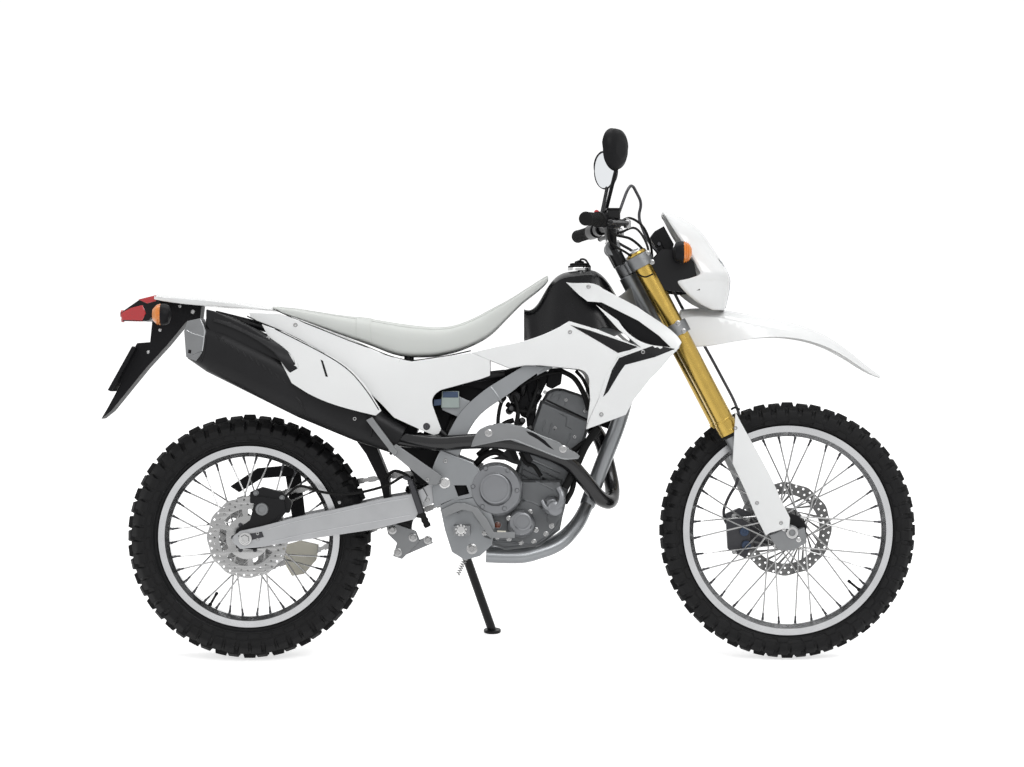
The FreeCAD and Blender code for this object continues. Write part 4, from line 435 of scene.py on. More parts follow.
MUFFLER = finish("muffler_black", (0.012, 0.012, 0.013), 0.42, metal=0.3, vary=0.15, grain=900,
                 depth=0.0001, strength=0.4, gleam=0.25)
HEADER = finish("header_black", (0.012, 0.012, 0.013), 0.22, metal=0.5, vary=0.15, grain=300,
                coat=0.3)

# Lenses and glass
RED = finish("red_lens", (0.50, 0.010, 0.016), 0.12, vary=0.06, grain=250, depth=0.00006, coat=0.6)
AMBER = finish("amber_lens", (0.80, 0.25, 0.02), 0.14, vary=0.06, grain=250, depth=0.00006, coat=0.6)
OIL = finish("oil_window", (0.16, 0.035, 0.012), 0.1, vary=0.15, grain=200, depth=0.00004, coat=0.7)
CLEAR = finish("headlight_glass", (0.50, 0.52, 0.54), 0.10, metal=0.35, vary=0.06, grain=120,
               depth=0.0004, strength=0.35, coat=0.8, patch=30)
GLASS = finish("mirror_glass", (0.80, 0.82, 0.84), 0.04, metal=1.0, vary=0.01, grain=40,
               depth=0.00001, rough_vary=0.01)

NODE_FINISH = {
    WHITE: ("rear_fender", "shroud_strips", "front_shrouds", "side_panels", "side_covers", "rear_panels",
            "fork_guards", "headlight_cowl", "front_fender"),
    BLACK_PLASTIC: ("intake_box", "fuel_cap", "plate_bracket", "chain_guard", "mirrors", "meter", "radiator"),
    BLACK_SATIN: ("fuel_tank", "tail_lamp"),
    BLACK_PAINT: ("subframe", "rear_suspension", "rear_brake", "handlebar", "bar_controls",
                  "cowl_stay", "front_hub", "rear_hub", "side_stand"),
    DARK_STEEL: ("front_caliper",),
    HEADER: ("exhaust_pipe",),
    SILVER: ("frame_main", "frame_cradle", "pivot_plates"),
    ALLOY: ("swingarm",),
    RIM: ("front_rim", "rear_rim"),
    CAST: ("fork_clamps", "foot_levers", "footpegs", "fork_lowers", "heat_shield", "muffler_cap"),
    STEEL: ("rear_axle", "drive_chain", "front_spokes", "rear_spokes", "front_disc",
            "rear_disc", "rear_sprocket"),
    ENGINE: ("engine_block",),
    COVER: ("engine_covers",),
    MUFFLER: ("muffler", "muffler_cover"),
    SEAT: ("seat",),
    AMBER: ("rear_signals", "front_signals"),
    GOLD: ("fork_outer_tubes",),
    CLEAR: ("headlight",),
    RUBBER: ("grips",),
    TYRE: ("front_tyre", "rear_tyre"),
}
for material, names in NODE_FINISH.items():
    for name in names:
        mesh = nodes[name].data
        mesh.materials.clear()
        mesh.materials.append(material)

SMOOTH_NODES = ("front_shrouds", "side_panels", "side_covers", "shroud_strips", "rear_panels", "front_fender",
                "rear_fender", "fork_guards", "frame_main", "pivot_plates", "swingarm", "muffler_cap", "fuel_cap",
                "foot_levers", "footpegs", "fork_clamps", "engine_covers", "engine_block", "plate_bracket",
                "chain_guard", "meter", "heat_shield", "tail_lamp", "front_caliper", "rear_brake", "mirrors",
                "fuel_tank", "muffler_cover", "intake_box", "side_stand", "subframe", "fork_lowers", "bar_controls")
FINE_NODES = ("heat_shield", "fork_guards", "front_fender")
for name in SMOOTH_NODES:
    nodes[name].modifiers.new("weld", "WELD").merge_threshold = 0.00002
    soften(nodes[name], 0.0012 if name in FINE_NODES else 0.0016, clamp=False)
    nodes[name].modifiers.new("even", "WEIGHTED_NORMAL")


# Wheels

LUG = 0.0105   # height of a tread block
FOOT = 0.003   # how far a block's foot stands in the carcass


def tyre_shape(radius, width, rim_radius, rim_width):
    """Half of the carcass's section as (y, r), from the bead to the middle of the tread, and the tread's curve."""
    half = width / 2
    crown = half * 1.06
    base = radius - LUG

    def tread(y):
        return base - crown + math.sqrt(crown * crown - y * y)

    bead = rim_width / 2
    shoulder = tread(half * 0.86)
    wall = shoulder - rim_radius
    points = [(bead - 0.005, rim_radius - 0.010), (bead - 0.0035, rim_radius + 0.001),
              (bead + 0.0015, rim_radius + 0.0045), (bead + 0.0025, rim_radius + 0.009),
              (half * 0.83, rim_radius + wall * 0.30), (half * 0.93, rim_radius + wall * 0.55),
              (half * 0.945, rim_radius + wall * 0.78), (half * 0.92, shoulder - FOOT), (half * 0.86, shoulder)]
    points += [(half * share, tread(half * share)) for share in (0.72, 0.54, 0.36, 0.18)]
    return points, tread


def round_wheel(centre, profile, steps):
    """Sections of (y, r) at even turns round a wheel's axle."""
    turns = [2 * math.pi * i / steps for i in range(steps)]
    return [[centre + Vector((r * math.sin(t), y, r * math.cos(t))) for y, r in profile] for t in turns]


def tyre_block(bm, centre, angle, section, pitch, halves, skew=0.0, side=1):
    """Tread block: a section across the tread, with half its length at each corner as a share of the pitch."""
    rings = []
    for sign in (-1, 1):
        turns = [(side * y, r, angle + (sign * pitch * half + skew * side * y) / r)
                 for (y, r), half in zip(section, halves)]
        rings.append([centre + Vector((r * math.sin(turn), y, r * math.cos(turn))) for y, r, turn in turns])
    loft(bm, rings)


def knobby_tyre(name, centre, radius, width, rim_radius, rim_width, pitches, body):
    """Carcass with two ribs on each side, and rows of blocks: middle, sides, shoulders with bars below."""
    bm = bmesh.new()
    half, tread = tyre_shape(radius, width, rim_radius, rim_width)
    skin(bm, round_wheel(centre, [(-y, r) for y, r in half] + [(0.0, tread(0.0))] + half[::-1], 120), False, True)
    w = width / 2
    for up, lift, out in ((0.30, 0.0012, 0.83), (0.62, 0.0010, 0.935)):
        r_rib = rim_radius + (tread(w * 0.86) - rim_radius) * up
        for side in (-1, 1):
            rib = [(side * (w * out + dy), r) for r, dy in ((r_rib - 0.0016, -FOOT), (r_rib - 0.0008, lift),
                                                             (r_rib + 0.0008, lift), (r_rib + 0.0016, -FOOT))]
            skin(bm, round_wheel(centre, rib, 120), True, True)

    def top(y):
        return tread(y) + LUG

    base = bmesh.new()
    pitch = 2 * math.pi * radius / pitches
    tall = tread(w * 0.86) + 0.0075
    y = w * 0.20
    middle = [(-y, top(y)), (0, top(0)), (y, top(y)), (y * 1.1, tread(y) - FOOT), (-y * 1.1, tread(y) - FOOT)]
    near, far = w * 0.30, w * 0.58
    inner = [(near, top(near)), (far, top(far)), (far * 1.05, tread(far) - FOOT), (near * 0.9, tread(near) - FOOT)]
    near, far = w * 0.66, w * 0.985
    outer = [(near, top(near)), (far * 0.93, tall + 0.001), (far, tall - 0.004), (far * 0.985, tall - 0.019),
             (far * 0.90, tall - 0.024), (near * 0.95, tread(near) - FOOT)]
    near, far = w * 0.945, w * 0.955
    bar = [(far, tall - 0.023), (near, tall - 0.035), (near * 0.94, tall - 0.037), (far * 0.93, tall - 0.022)]
    for n in range(pitches):
        angle = 2 * math.pi * n / pitches
        tyre_block(base, centre, angle, middle, pitch, (0.17, 0.20, 0.17, 0.23, 0.23))
        for side in (-1, 1):
            tyre_block(base, centre, angle + math.pi / pitches, inner, pitch, (0.17, 0.16, 0.21, 0.22), 0.15 * side,
                       side)
            for step, wide in ((-0.235, 0.185), (0.235, 0.14)):
                tyre_block(base, centre, angle + step * 2 * math.pi / pitches, outer, pitch,
                           (0.165, 0.155, 0.155, wide, 0.19, 0.21), -0.10 * side, side)
            tyre_block(base, centre, angle + 0.235 * 2 * math.pi / pitches, bar, pitch, (0.16, 0.22, 0.22, 0.16), 0,
                       side)
    bmesh.ops.bevel(base, geom=base.edges[:], offset=0.0011, segments=1, profile=0.6, affect="EDGES",
                    clamp_overlap=True)
    knobs = bpy.data.meshes.new(name + "_knobs")
    base.to_mesh(knobs)
    base.free()
    bm.from_mesh(knobs)
    bpy.data.meshes.remove(knobs)
    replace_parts(piece(name + "_tread", bm, TYRE, body, sharp=28), name)


knobby_tyre("front_tyre", FRONT_AXLE, 0.3445, 0.084, 0.281, 0.047, 28, "front_wheel")
knobby_tyre("rear_tyre", REAR_AXLE, 0.328, 0.122, 0.243, 0.062, 26, "rear_wheel")


def wire_wheel(name, centre, rim_radius, rim_width, hub_width):
    """Crossed round spokes with bent heads at the hub and nipples at the rim."""
    bm = bmesh.new()
    heads = bmesh.new()
    count = 36
    outer = rim_radius - 0.0294   # inside the rim's well
    inner = 0.0463                # in the hub's flange
    for number in range(count):
        side = 1 if number % 2 else -1
        trailing = 1 if (number // 2) % 2 else -1
        aside = trailing * 0.0026
        rim_angle = 2 * math.pi * (number + 0.5) / count
        hub_angle = rim_angle + trailing * math.radians(52)
        start = centre + Vector((inner * math.sin(hub_angle), side * (hub_width / 2 - 0.0045) + aside,
                                 inner * math.cos(hub_angle)))
        end = centre + Vector((outer * math.sin(rim_angle), side * rim_width * 0.09 + aside,
                               outer * math.cos(rim_angle)))
        line = (end - start).normalized()
        tube(bm, [start, end], 0.0021, 8)
        lathe(heads, end, -line, [(0.0036, 0.0), (0.0036, 0.006), (0.0028, 0.0075), (0.0026, 0.019)], 8)
        lathe(heads, start + line * 0.002 - Y_AXIS * side * 0.001, Y_AXIS * side,
              [(0.0034, 0.0), (0.0034, 0.0045), (0.002, 0.0062)], 10)
    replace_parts(piece(name + "_spoke_wires", bm, STEEL, name + "_wheel"), name + "_spokes")
    piece(name + "_nipples", heads, DARK_STEEL, name + "_wheel")


wire_wheel("front", FRONT_AXLE, 0.281, 0.047, 0.110)
wire_wheel("rear", REAR_AXLE, 0.243, 0.062, 0.112)


def arc_window(inner, outer, start, width, sweep):
    """Window between two slanted arms of a disc."""
    steps = 6
    out = [(inner, start + width * i / steps) for i in range(steps + 1)]
    out += [(outer, start + width + sweep - width * i / steps) for i in range(steps + 1)]
    return [(r * math.sin(a), r * math.cos(a)) for r, a in out]


def round_hole(far, angle, radius):
    """Small hole at a radius and an angle."""
    turns = [2 * math.pi * i / 10 for i in range(10)]
    return [(far * math.sin(angle) + radius * math.sin(t), far * math.cos(angle) + radius * math.cos(t))
            for t in turns]


def brake_disc(name, centre, y, radius, arms, sweep, holes, body, metal):
    """Wave-edged disc with windows between its arms, two rows of holes and six button bolts."""
    wall = 0.004
    bore = radius - 0.032
    bolts = [2 * math.pi * (i + 0.5) / 6 for i in range(6)]
    bolt_far = 0.0385
    outlines = [ring_points(radius * 0.982 - 0.0004, 240, 0.014, 12), ring_points(0.0306, 40)]
    step = 2 * math.pi / arms
    outlines += [arc_window(0.058, bore * 0.985, step * i, step * 0.80, sweep) for i in range(arms)]
    for i in range(holes):
        for row, share, size in ((0, 0.28, 0.0033), (1, 0.72, 0.0036)):
            outlines.append(round_hole(bore + 0.029 * share + 0.002, 2 * math.pi * (i + row * 0.5) / holes, size))
    outlines += [round_hole(bolt_far, angle, 0.0025) for angle in bolts]
    blade = pierced(name + "_blade", outlines, wall, 0.0004, metal, body, centre + Y_AXIS * y)
    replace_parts(blade, name)
    side = 1 if y > 0 else -1
    bm = bmesh.new()
    for angle in bolts:
        place = Vector((bolt_far * math.sin(angle), y + side * wall / 2, bolt_far * math.cos(angle)))
        bolt(bm, centre + place, Y_AXIS * side, 0.0045, 0.004)
    piece(name + "_bolts", bm, DARK_STEEL, body)


brake_disc("front_disc", FRONT_AXLE, 0.0573, 0.128, 18, 0.55, 36, "front_wheel", DISC)
brake_disc("rear_disc", REAR_AXLE, -0.0583, 0.110, 6, 0.0, 32, "rear_wheel", STEEL)


def valve(name, centre, radius, px, py):
    """Stem towards the axle, at the angle given by two distances in pixels from it."""
    angle = math.atan2(px, py)
    out = Vector((math.sin(angle), 0, math.cos(angle)))
    bm = bmesh.new()
    lathe(bm, centre + out * radius, -out, [(0.005, -0.003), (0.005, 0.004), (0.0032, 0.006), (0.0032, 0.030),
                                            (0.0042, 0.031), (0.0042, 0.038), (0.003, 0.040)], 12)
    piece(name + "_valve", bm, BLACK_PLASTIC, name + "_wheel")


valve("front", FRONT_AXLE, 0.2525, 862 - FRONT_PX, FRONT_PY - 592)
valve("rear", REAR_AXLE, 0.2145, 209.5 - REAR_PX, 536 - 605.7)


# Helpers for detail that lies on the nodes

def on(px, py, names, sink=0.0):
    """Place on some nodes, seen at a pixel, a little sunk if wanted."""
    place, out, _ = look(px, py, names) or (at(px, py, -0.10), RIGHT, None)
    return place - out * sink


def ridge(bm, pixels, names, radius, sink=0.35, steps=4):
    """Rounded rib laid on some nodes along a line of pixels."""
    line = smooth_line([Vector((px, py, 0)) for px, py in pixels], steps)
    tube(bm, [on(p.x, p.y, names, radius * sink) for p in line], radius, 8, 1)


def ribs(name, names, material, lines, sink, body="chassis"):
    """Piece of rounded ribs, each given as its radius and its pixels."""
    bm = bmesh.new()
    for radius, *pixels in lines:
        ridge(bm, pixels, names, radius, sink)
    piece(name, bm, material, body)


def fasteners(name, pixels, names, radius, socket=False, height=None, body="chassis"):
    """Row of steel bolts or socket screws on some nodes, heads to the right."""
    bm = bmesh.new()
    for px, py in pixels:
        if socket:
            screw(bm, on(px, py, names), RIGHT, radius, height or radius * 0.5)
        else:
            bolt(bm, on(px, py, names), RIGHT, radius, height or radius * 0.9)
    piece(name, bm, STEEL, body)


def plated(name, material, pixels, near, far, bevel=0.0):
    """Piece that is one plate drawn over the photograph."""
    bm = bmesh.new()
    seen_plate(bm, pixels, near, far)
    piece(name, bm, material, bevel=bevel)


# Engine cases

BLOCK = ("engine_block", "engine_covers", "pivot_plates", "frame_cradle")

fasteners("case_bolts", [(530, 512), (536, 530), (551.6, 526), (534, 541.6), (509, 539), (484.5, 533),
                         (509, 518.4), (546, 534), (521, 543), (497, 537)], BLOCK, 0.0052)
fasteners("head_bolts", [(545, 392), (585, 411), (566, 400), (574.5, 437), (555, 428)], BLOCK, 0.0048, True)
fasteners("shield_bolts", [(488.6, 433), (563, 449)], ("heat_shield",), 0.0075)
fasteners("plate_bolts", [(445.5, 461), (427.5, 480), (427.5, 500)],
          ("pivot_plates", "rear_suspension", "footpegs"), 0.0062, True)
fasteners("casting_bolt", [(472, 549)], ("pivot_plates", "side_stand"), 0.0105)

bm = bmesh.new()
ridge(bm, [(484, 536), (497, 540.5), (512, 542), (530, 545), (541, 541), (553, 531), (561, 518), (565, 503)],
      BLOCK, 0.0032)
ridge(bm, [(524, 461), (522, 475), (521, 490), (519, 505)], BLOCK, 0.0022)
ridge(bm, [(521, 500), (534, 503), (545, 511), (548, 522)], BLOCK, 0.0026)
for k in range(3):
    ridge(bm, [(553 + 7 * k, 392 + 3.4 * k), (550.5 + 7 * k, 398.5 + 3.4 * k)], BLOCK, 0.0024)
ridge(bm, [(559, 413), (567, 417), (566, 426), (572, 429)], BLOCK, 0.002, steps=1)
for top, foot in (((545, 420), (543, 431)), ((552, 423), (549, 434)), ((571, 433), (567, 444))):
    ridge(bm, [top, foot], BLOCK, 0.003)
piece("case_ribs", bm, ENGINE)

fin_step = Vector((-2.3, 5.4))
ribs("cylinder_fins", BLOCK, ENGINE,
     [[0.0026] + [Vector(corner) + fin_step * k for corner in ((529, 452), (545, 459.5), (563, 468))]
      for k in range(5)], 0.1)

draped("head_gasket", [(540.5, 396.3), (590.5, 420.2), (590, 422), (540, 398.2)], ("engine_block",),
       BLACK_PLASTIC, 0.0006)
draped("cylinder_gasket", [(531, 446), (573, 466), (572, 467.6), (530.4, 447.6)], ("engine_block",),
       BLACK_PLASTIC, 0.0006)
draped("shield_slots", [(526, 431), (534, 433), (545, 440.5), (554, 450), (548, 447), (538, 439.5), (529, 434.5)],
       ("heat_shield",), BLACK_PLASTIC, 0.0005)
draped("plate_window", [(455, 486), (468, 486), (468.6, 494.5), (457, 496)],
       ("pivot_plates", "swingarm", "engine_covers", "engine_block"), BLACK_PLASTIC, 0.0005)
ribs("shield_edges", ("heat_shield",), CAST,
     [[0.0022, (472, 446), (474, 440), (481, 429.6), (500, 423.8), (520, 426.6), (540, 435.4), (560, 443.4),
       (578, 455)],
      [0.0022, (473, 446), (485, 443.4), (510, 439.4), (525, 444.2), (540, 450), (555, 456), (565, 459),
       (577, 458)]], 0.35)

# Frame collar, pivot and casing caps
bm = bmesh.new()
ridge(bm, [(490.5, 386.6), (496, 393.5), (501.5, 401.4)], ("frame_main",), 0.0032)
ridge(bm, [(441, 450.5), (458, 457.5), (473, 463.5), (478, 468.5), (480.6, 475)], ("pivot_plates",), 0.0024)
ridge(bm, [(433, 488), (432, 475), (434.6, 464), (440.6, 451.5)], ("pivot_plates",), 0.0022)
piece("spar_collar", bm, SILVER)

bm = bmesh.new()
lathe(bm, on(444.7, 483, ("pivot_plates",)), RIGHT,
      [(0.0145, -0.003), (0.0145, 0.0022), (0.013, 0.0032), (0.0098, 0.0032), (0.0094, 0.0012), (0.0082, 0.0012),
       (0.0078, 0.0042), (0.004, 0.0044), (0.0035, 0.002)], 30)
place = on(461, 530, ("pivot_plates", "footpegs", "foot_levers", "side_stand"))
for k in range(9):
    angle = 2 * math.pi * k / 9
    around = Vector((math.sin(angle), 0, math.cos(angle)))
    lathe(bm, place + around * 0.0125, RIGHT, [(0.0033, -0.002), (0.0033, 0.007), (0.0022, 0.008)], 8)
lathe(bm, place, RIGHT, [(0.010, -0.002), (0.010, 0.009), (0.0075, 0.011), (0.003, 0.011)], 20)
piece("pivot_cap", bm, CHROME)

bm = bmesh.new()
place = on(495, 488.6, ("engine_covers",))
lathe(bm, place + RIGHT * -0.001, RIGHT, [(0.0395, -0.002), (0.0395, 0.0022), (0.0375, 0.0032), (0.0345, 0.0032),
                                          (0.034, 0.0018), (0.010, 0.0022)], 56)
for k in range(6):
    turn = math.radians(35 + 60 * k)
    lathe(bm, place + Vector((0.0585 * math.sin(turn), 0.013, 0.0585 * math.cos(turn))), RIGHT,
          [(0.006, -0.006), (0.006, 0.003), (0.0045, 0.0045), (0.002, 0.0045)], 16)
lathe(bm, on(522.6, 521.7, ("engine_covers",)), RIGHT,
      [(0.024, -0.001), (0.024, 0.002), (0.0225, 0.0032), (0.018, 0.0034), (0.0175, 0.0016), (0.004, 0.002)], 40)
piece("cover_caps", bm, COVER)

# Oil window and water pump
bm = bmesh.new()
place = on(497.7, 525, BLOCK)
lathe(bm, place, RIGHT, [(0.0085, -0.002), (0.0085, 0.002), (0.007, 0.003), (0.001, 0.0033)], 24)
piece("oil_window", bm, OIL)
bm = bmesh.new()
lathe(bm, place, RIGHT, [(0.0115, -0.002), (0.0115, 0.002), (0.0105, 0.0028), (0.0088, 0.0028), (0.0088, -0.002)],
      24)
place = on(555, 508, BLOCK)
lathe(bm, place, RIGHT, [(0.020, -0.004), (0.020, 0.010), (0.0175, 0.013), (0.010, 0.015), (0.002, 0.0155)], 28)
for radius, sides, route in ((0.0095, 14, ((0, -0.006, 0), (0.014, -0.009, 0.012), (0.018, -0.006, 0.034),
                                           (0.010, 0.002, 0.052))),
                             (0.0062, 12, ((-0.012, -0.004, -0.006), (-0.026, -0.006, 0.004),
                                           (-0.034, -0.002, 0.020)))):
    tube(bm, [place + Vector(step) for step in route], radius, sides)
piece("water_pump", bm, COVER)

# Hoses between frame and engine, each as its radius and its places in pixels with a width
HOSES = (
    (0.0052, (500, 371, -0.050), (506, 388, -0.068), (500, 407, -0.082), (498, 424, -0.090), (500, 446, -0.098)),
    (0.0062, (507, 378, -0.040), (514, 396, -0.070), (518, 412, -0.082), (515, 430, -0.088)),
    (0.0048, (530, 374, -0.055), (538, 382, -0.072), (534, 398, -0.082), (527, 416, -0.086)),
    (0.0042, (520, 386, -0.075), (532, 380, -0.08), (546, 374, -0.078), (562, 372, -0.07)),
    (0.0068, (562, 371, -0.075), (574, 378, -0.085), (583, 392, -0.088), (589, 410, -0.085)),
    (0.0046, (576, 371, -0.06), (583, 379, -0.07), (589, 392, -0.075), (596, 408, -0.078)),
    (0.0062, (492, 452, -0.098), (500, 446, -0.104), (510, 449, -0.106), (516, 460, -0.104)),
    (0.0075, (478, 455, -0.085), (488, 447, -0.095), (497, 441, -0.09)),
    (0.0056, (520, 452, -0.105), (526, 463, -0.108), (534, 466, -0.104), (541, 476, -0.100)),
    (0.0052, (438, 392, -0.06), (432, 405, -0.066), (434, 425, -0.07), (440, 442, -0.074)),
    (0.0042, (384, 478, -0.07), (395, 471, -0.075), (408, 476, -0.085), (411, 484, -0.105)),
    (0.0062, (444, 404, -0.05), (452, 415, -0.06), (447, 430, -0.07), (440, 445, -0.08)),
    (0.0085, (474, 466, -0.09), (484, 456, -0.10), (496, 452, -0.10), (508, 458, -0.10)),
    (0.0078, (560, 463, -0.06), (572, 452, -0.07), (588, 440, -0.07), (600, 432, -0.065)),
    (0.0072, (565, 503, -0.07), (572, 490, -0.08), (574, 476, -0.08), (570, 462, -0.075)),
    (0.0068, (484, 448, -0.06), (492, 436, -0.07), (504, 424, -0.07), (514, 420, -0.07)),
    (0.0075, (507, 404, -0.06), (517, 410, -0.07), (528, 412, -0.07), (535, 408, -0.06)),
)
bm = bmesh.new()
tube(bm, [at(565, 488, -0.100), at(571, 476, -0.098), at(578, 462, -0.09), at(586, 445, -0.085),
          at(598, 428, -0.085)], 0.0105, 14)
for radius, *route in HOSES:
    tube(bm, [at(*spot) for spot in route], radius)
piece("hoses", bm, RUBBER)

# Dark plates behind the frame (partly black parts, partly painted shade among them), throttle body and relay
# Painted shade: these black plates fill the space behind the frame, standing partly for the dark parts there and
# partly for the shade that falls among them
bm = bmesh.new()
seen_plate(bm, [(432, 402), (440, 386), (470, 377), (522, 366), (528, 370), (508, 382), (492, 390), (476, 400),
                (462, 414), (452, 432), (447, 446), (438, 450), (431, 436), (436, 418)], -0.050, -0.020)
seen_plate(bm, [(508, 384), (530, 371), (551, 371), (546, 384), (540, 396), (534, 409), (530, 420), (521, 416),
                (517, 402)], -0.040, -0.010)
seen_plate(bm, [(398, 438), (420, 432), (440, 440), (444, 452), (434, 466), (431, 482), (420, 486), (408, 466)],
           -0.045, -0.015)
seen_plate(bm, [(451, 483), (472, 483), (473, 498), (452, 499)], -0.100, -0.094)
for corners in ([(508, 391), (526, 380), (530, 402), (524, 411), (512, 408)],
                [(525, 402), (538, 400), (534, 425), (527, 427)],
                [(549, 368), (563, 368), (561, 384), (552, 389), (546, 386)]):
    seen_plate(bm, corners, -0.045, -0.020)
piece("inner_parts_and_shade", bm, BLACK_PLASTIC, bevel=0.003)

bm = bmesh.new()
lathe(bm, at(506, 384, -0.010), (at(538, 404) - at(506, 384)).normalized(),
      [(0.030, 0), (0.032, 0.010), (0.027, 0.018), (0.029, 0.030), (0.025, 0.036), (0.025, 0.072), (0.029, 0.076),
       (0.029, 0.092), (0.024, 0.1)], 28)
lathe(bm, at(515, 397, -0.062), RIGHT, [(0.017, -0.04), (0.017, 0.006), (0.014, 0.012), (0.006, 0.013)], 24)
lathe(bm, at(524, 384, -0.05), Vector((0.3, -0.4, 1)), [(0.012, -0.03), (0.012, 0.018), (0.009, 0.024)], 18)
for px, py, y, size in ((511, 409, -0.070, 0.010), (522, 421, -0.076, 0.009), (530, 428, -0.08, 0.008),
                        (503, 398, -0.062, 0.009), (537, 392, -0.07, 0.0095), (505, 430, -0.084, 0.007)):
    lathe(bm, at(px, py, y), Vector((0.25, -1, 0.3)),
          [(size, -0.022), (size, 0.004), (size * 0.8, 0.007), (size * 0.4, 0.0075)], 16)
seen_plate(bm, [(489, 459), (499, 456), (513, 444.5), (518, 456), (521.5, 466), (512, 463), (505, 460)], -0.108,
           -0.103)
seen_plate(bm, [(519, 449), (526, 447), (533, 460), (528, 468)], -0.104, -0.090)
piece("throttle_body", bm, BLACK_PAINT, bevel=0.001)

plated("relay_box", PALE, [(442, 391), (459, 391), (459.5, 408), (441, 408)], -0.104, -0.088, 0.002)
bm = bmesh.new()
seen_plate(bm, [(443, 391.5), (458, 391.5), (458.3, 397.5), (442.6, 397.5)], -0.1055, -0.1035)
seen_plate(bm, [(434, 399.5), (442, 399), (442, 405), (433.5, 406)], -0.100, -0.090)
piece("relay_plug", bm, TEAL, bevel=0.0008)

# Rear master cylinder with its boot, and the mud guard's ribs
bm = bmesh.new()
cylinder_y = -0.141
top, foot = at(410.5, 480, cylinder_y), at(421.5, 513, cylinder_y)
tube(bm, [top, at(417, 500, cylinder_y), foot], 0.0092, 16, 2)
for share in (0.06, 0.2, 0.34):
    lathe(bm, top.lerp(foot, share), at(421.5, 513) - at(410.5, 480),
          [(0.0108, 0), (0.0112, 0.0015), (0.0108, 0.003)], 18)
lathe(bm, at(408.6, 478.5, cylinder_y), Vector((-0.75, 0, 0.3)),
      [(0.0065, -0.006), (0.0065, 0.012), (0.005, 0.014)], 14)
piece("rear_master_cylinder", bm, DARK_STEEL)
bm = bmesh.new()
boot = at(428, 527, cylinder_y) - foot
lathe(bm, foot, boot, [(0.0098 if k % 2 else 0.0078, boot.length * k / 6) for k in range(7)], 18)
for k in range(8):
    lathe(bm, at(369 + 3.2 * k, 423.5 + 4.2 * k, -0.122), Vector((0.35, -1, 0.3)),
          [(0.0042, -0.006), (0.0042, 0.003), (0.003, 0.0045)], 8)
piece("master_boot", bm, RUBBER)

# Caps of the covers on the left, each as pixel, nodes, size and how far out its bolts stand
bm = bmesh.new()
for px, py, names, size, far in ((540, 505, ("engine_covers",), 0.036, 1.28),
                                 (474.9, 477, ("engine_covers", "engine_block"), 0.012, 2.6)):
    spot = at(px, py, 0.10)
    spot.y = 0.6
    hits = [tree_of(name).ray_cast(spot, RIGHT)[0] for name in names]
    found = max((place for place in hits if place is not None), key=lambda place: place.y)
    lathe(bm, found, Y_AXIS, [(size, -0.002), (size, 0.0022), (size * 0.94, 0.0034), (size * 0.84, 0.0034),
                              (size * 0.82, 0.0018), (size * 0.2, 0.0022)], 40)
    for k in range(6):
        turn = 2 * math.pi * (k + 0.5) / 6
        around = Vector((math.sin(turn), 0, math.cos(turn))) * (size * far)
        lathe(bm, found + around - Y_AXIS * 0.004, Y_AXIS, [(0.005, 0), (0.005, 0.006), (0.0038, 0.0075)], 6)
piece("left_cover_cap", bm, COVER)

plated("pedal_tip", CREAM, [(497, 530.6), (506, 531), (506.4, 534), (497.4, 533.6)], -0.151, -0.138, 0.001)

# Shock link and stand spring
bm = bmesh.new()
for y in (-0.036, 0.030):
    seen_plate(bm, [(386, 524), (394, 523), (416, 531), (420, 541), (402, 559), (393, 556), (397, 543), (388, 534)],
               y, y + 0.008)
seen_plate(bm, [(396, 549), (428, 536.5), (433, 543), (402, 556.5)], -0.030, -0.018)
piece("linkage_plates", bm, CAST, bevel=0.0015)
bm = bmesh.new()
for px, py in ((392.4, 530), (413, 537.5), (398, 552.4), (428, 540)):
    bolt(bm, at(px, py, -0.037), RIGHT, 0.0085, 0.007)
piece("linkage_bolts", bm, STEEL)

bm = bmesh.new()
low, top = Vector((0.578, 0.128, 0.262)), Vector((0.556, 0.128, 0.215))
one, two = across((top - low).normalized())
turns, per_turn, coil_radius = 8, 12, 0.006
coil = []
for k in range(turns * per_turn + 1):
    turn = 2 * math.pi * k / per_turn
    coil.append(low.lerp(top, k / (turns * per_turn)) + one * (coil_radius * math.cos(turn))
                + two * (coil_radius * math.sin(turn)))
tube(bm, coil, 0.0013, 6, 1)
piece("stand_spring", bm, STEEL)


# Seat stations, each as pixel across, pixels of top and foot, and share of the greatest width

SEAT_STATIONS = ((276, 307, 309.5, 0.80), (286, 308, 314.5, 0.87), (300, 309, 319.5, 0.92), (320, 312, 327, 0.96),
                 (340, 315, 334.5, 0.98), (372, 319, 346, 1.0), (400, 323.5, 356, 0.98), (430, 327, 357, 0.90),
                 (448, 326.5, 354, 0.85), (462, 323, 350, 0.80), (478, 316, 343, 0.73), (492, 308.5, 334, 0.67),
                 (508, 300, 318, 0.61), (522, 291.5, 304, 0.57), (536, 282.5, 293, 0.53), (545, 277.3, 285, 0.50),
                 (548, 275.8, 281, 0.48))
SEAT_HALF = 0.118


def seat_section(x, top, low, half):
    """Closed section: rounded upper corners, a faint crown, straight sides and a flat base."""
    count = 44
    out = []
    for k in range(count):
        turn = 2 * math.pi * k / count
        c, s = math.cos(turn), math.sin(turn)
        y = half * math.copysign(abs(c) ** (0.42 if s > 0 else 0.22), c)
        z = (top + low) / 2 + (top - low) / 2 * math.copysign(abs(s) ** (0.52 if s > 0 else 0.25), s)
        out.append(Vector((x, y * (1 - 0.10 * max(0, s)), z)))
    return out


def seat_rings():
    values = []
    for px, top, low, _ in SEAT_STATIONS:
        spot = at(px, top)
        values.append(Vector((spot.x, spot.z, at(px, low).z)))
    shares = [Vector((share, 0, 0)) for *_, share in SEAT_STATIONS]
    return [seat_section(v.x, v.y, v.z, SEAT_HALF * s.x)
            for v, s in zip(smooth_line(values, 5), smooth_line(shares, 5))]


rings = seat_rings()
bm = bmesh.new()
loft(bm, rings)
cushion = piece("seat_cushion", bm, SEAT, sharp=60)
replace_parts(cushion, "seat")

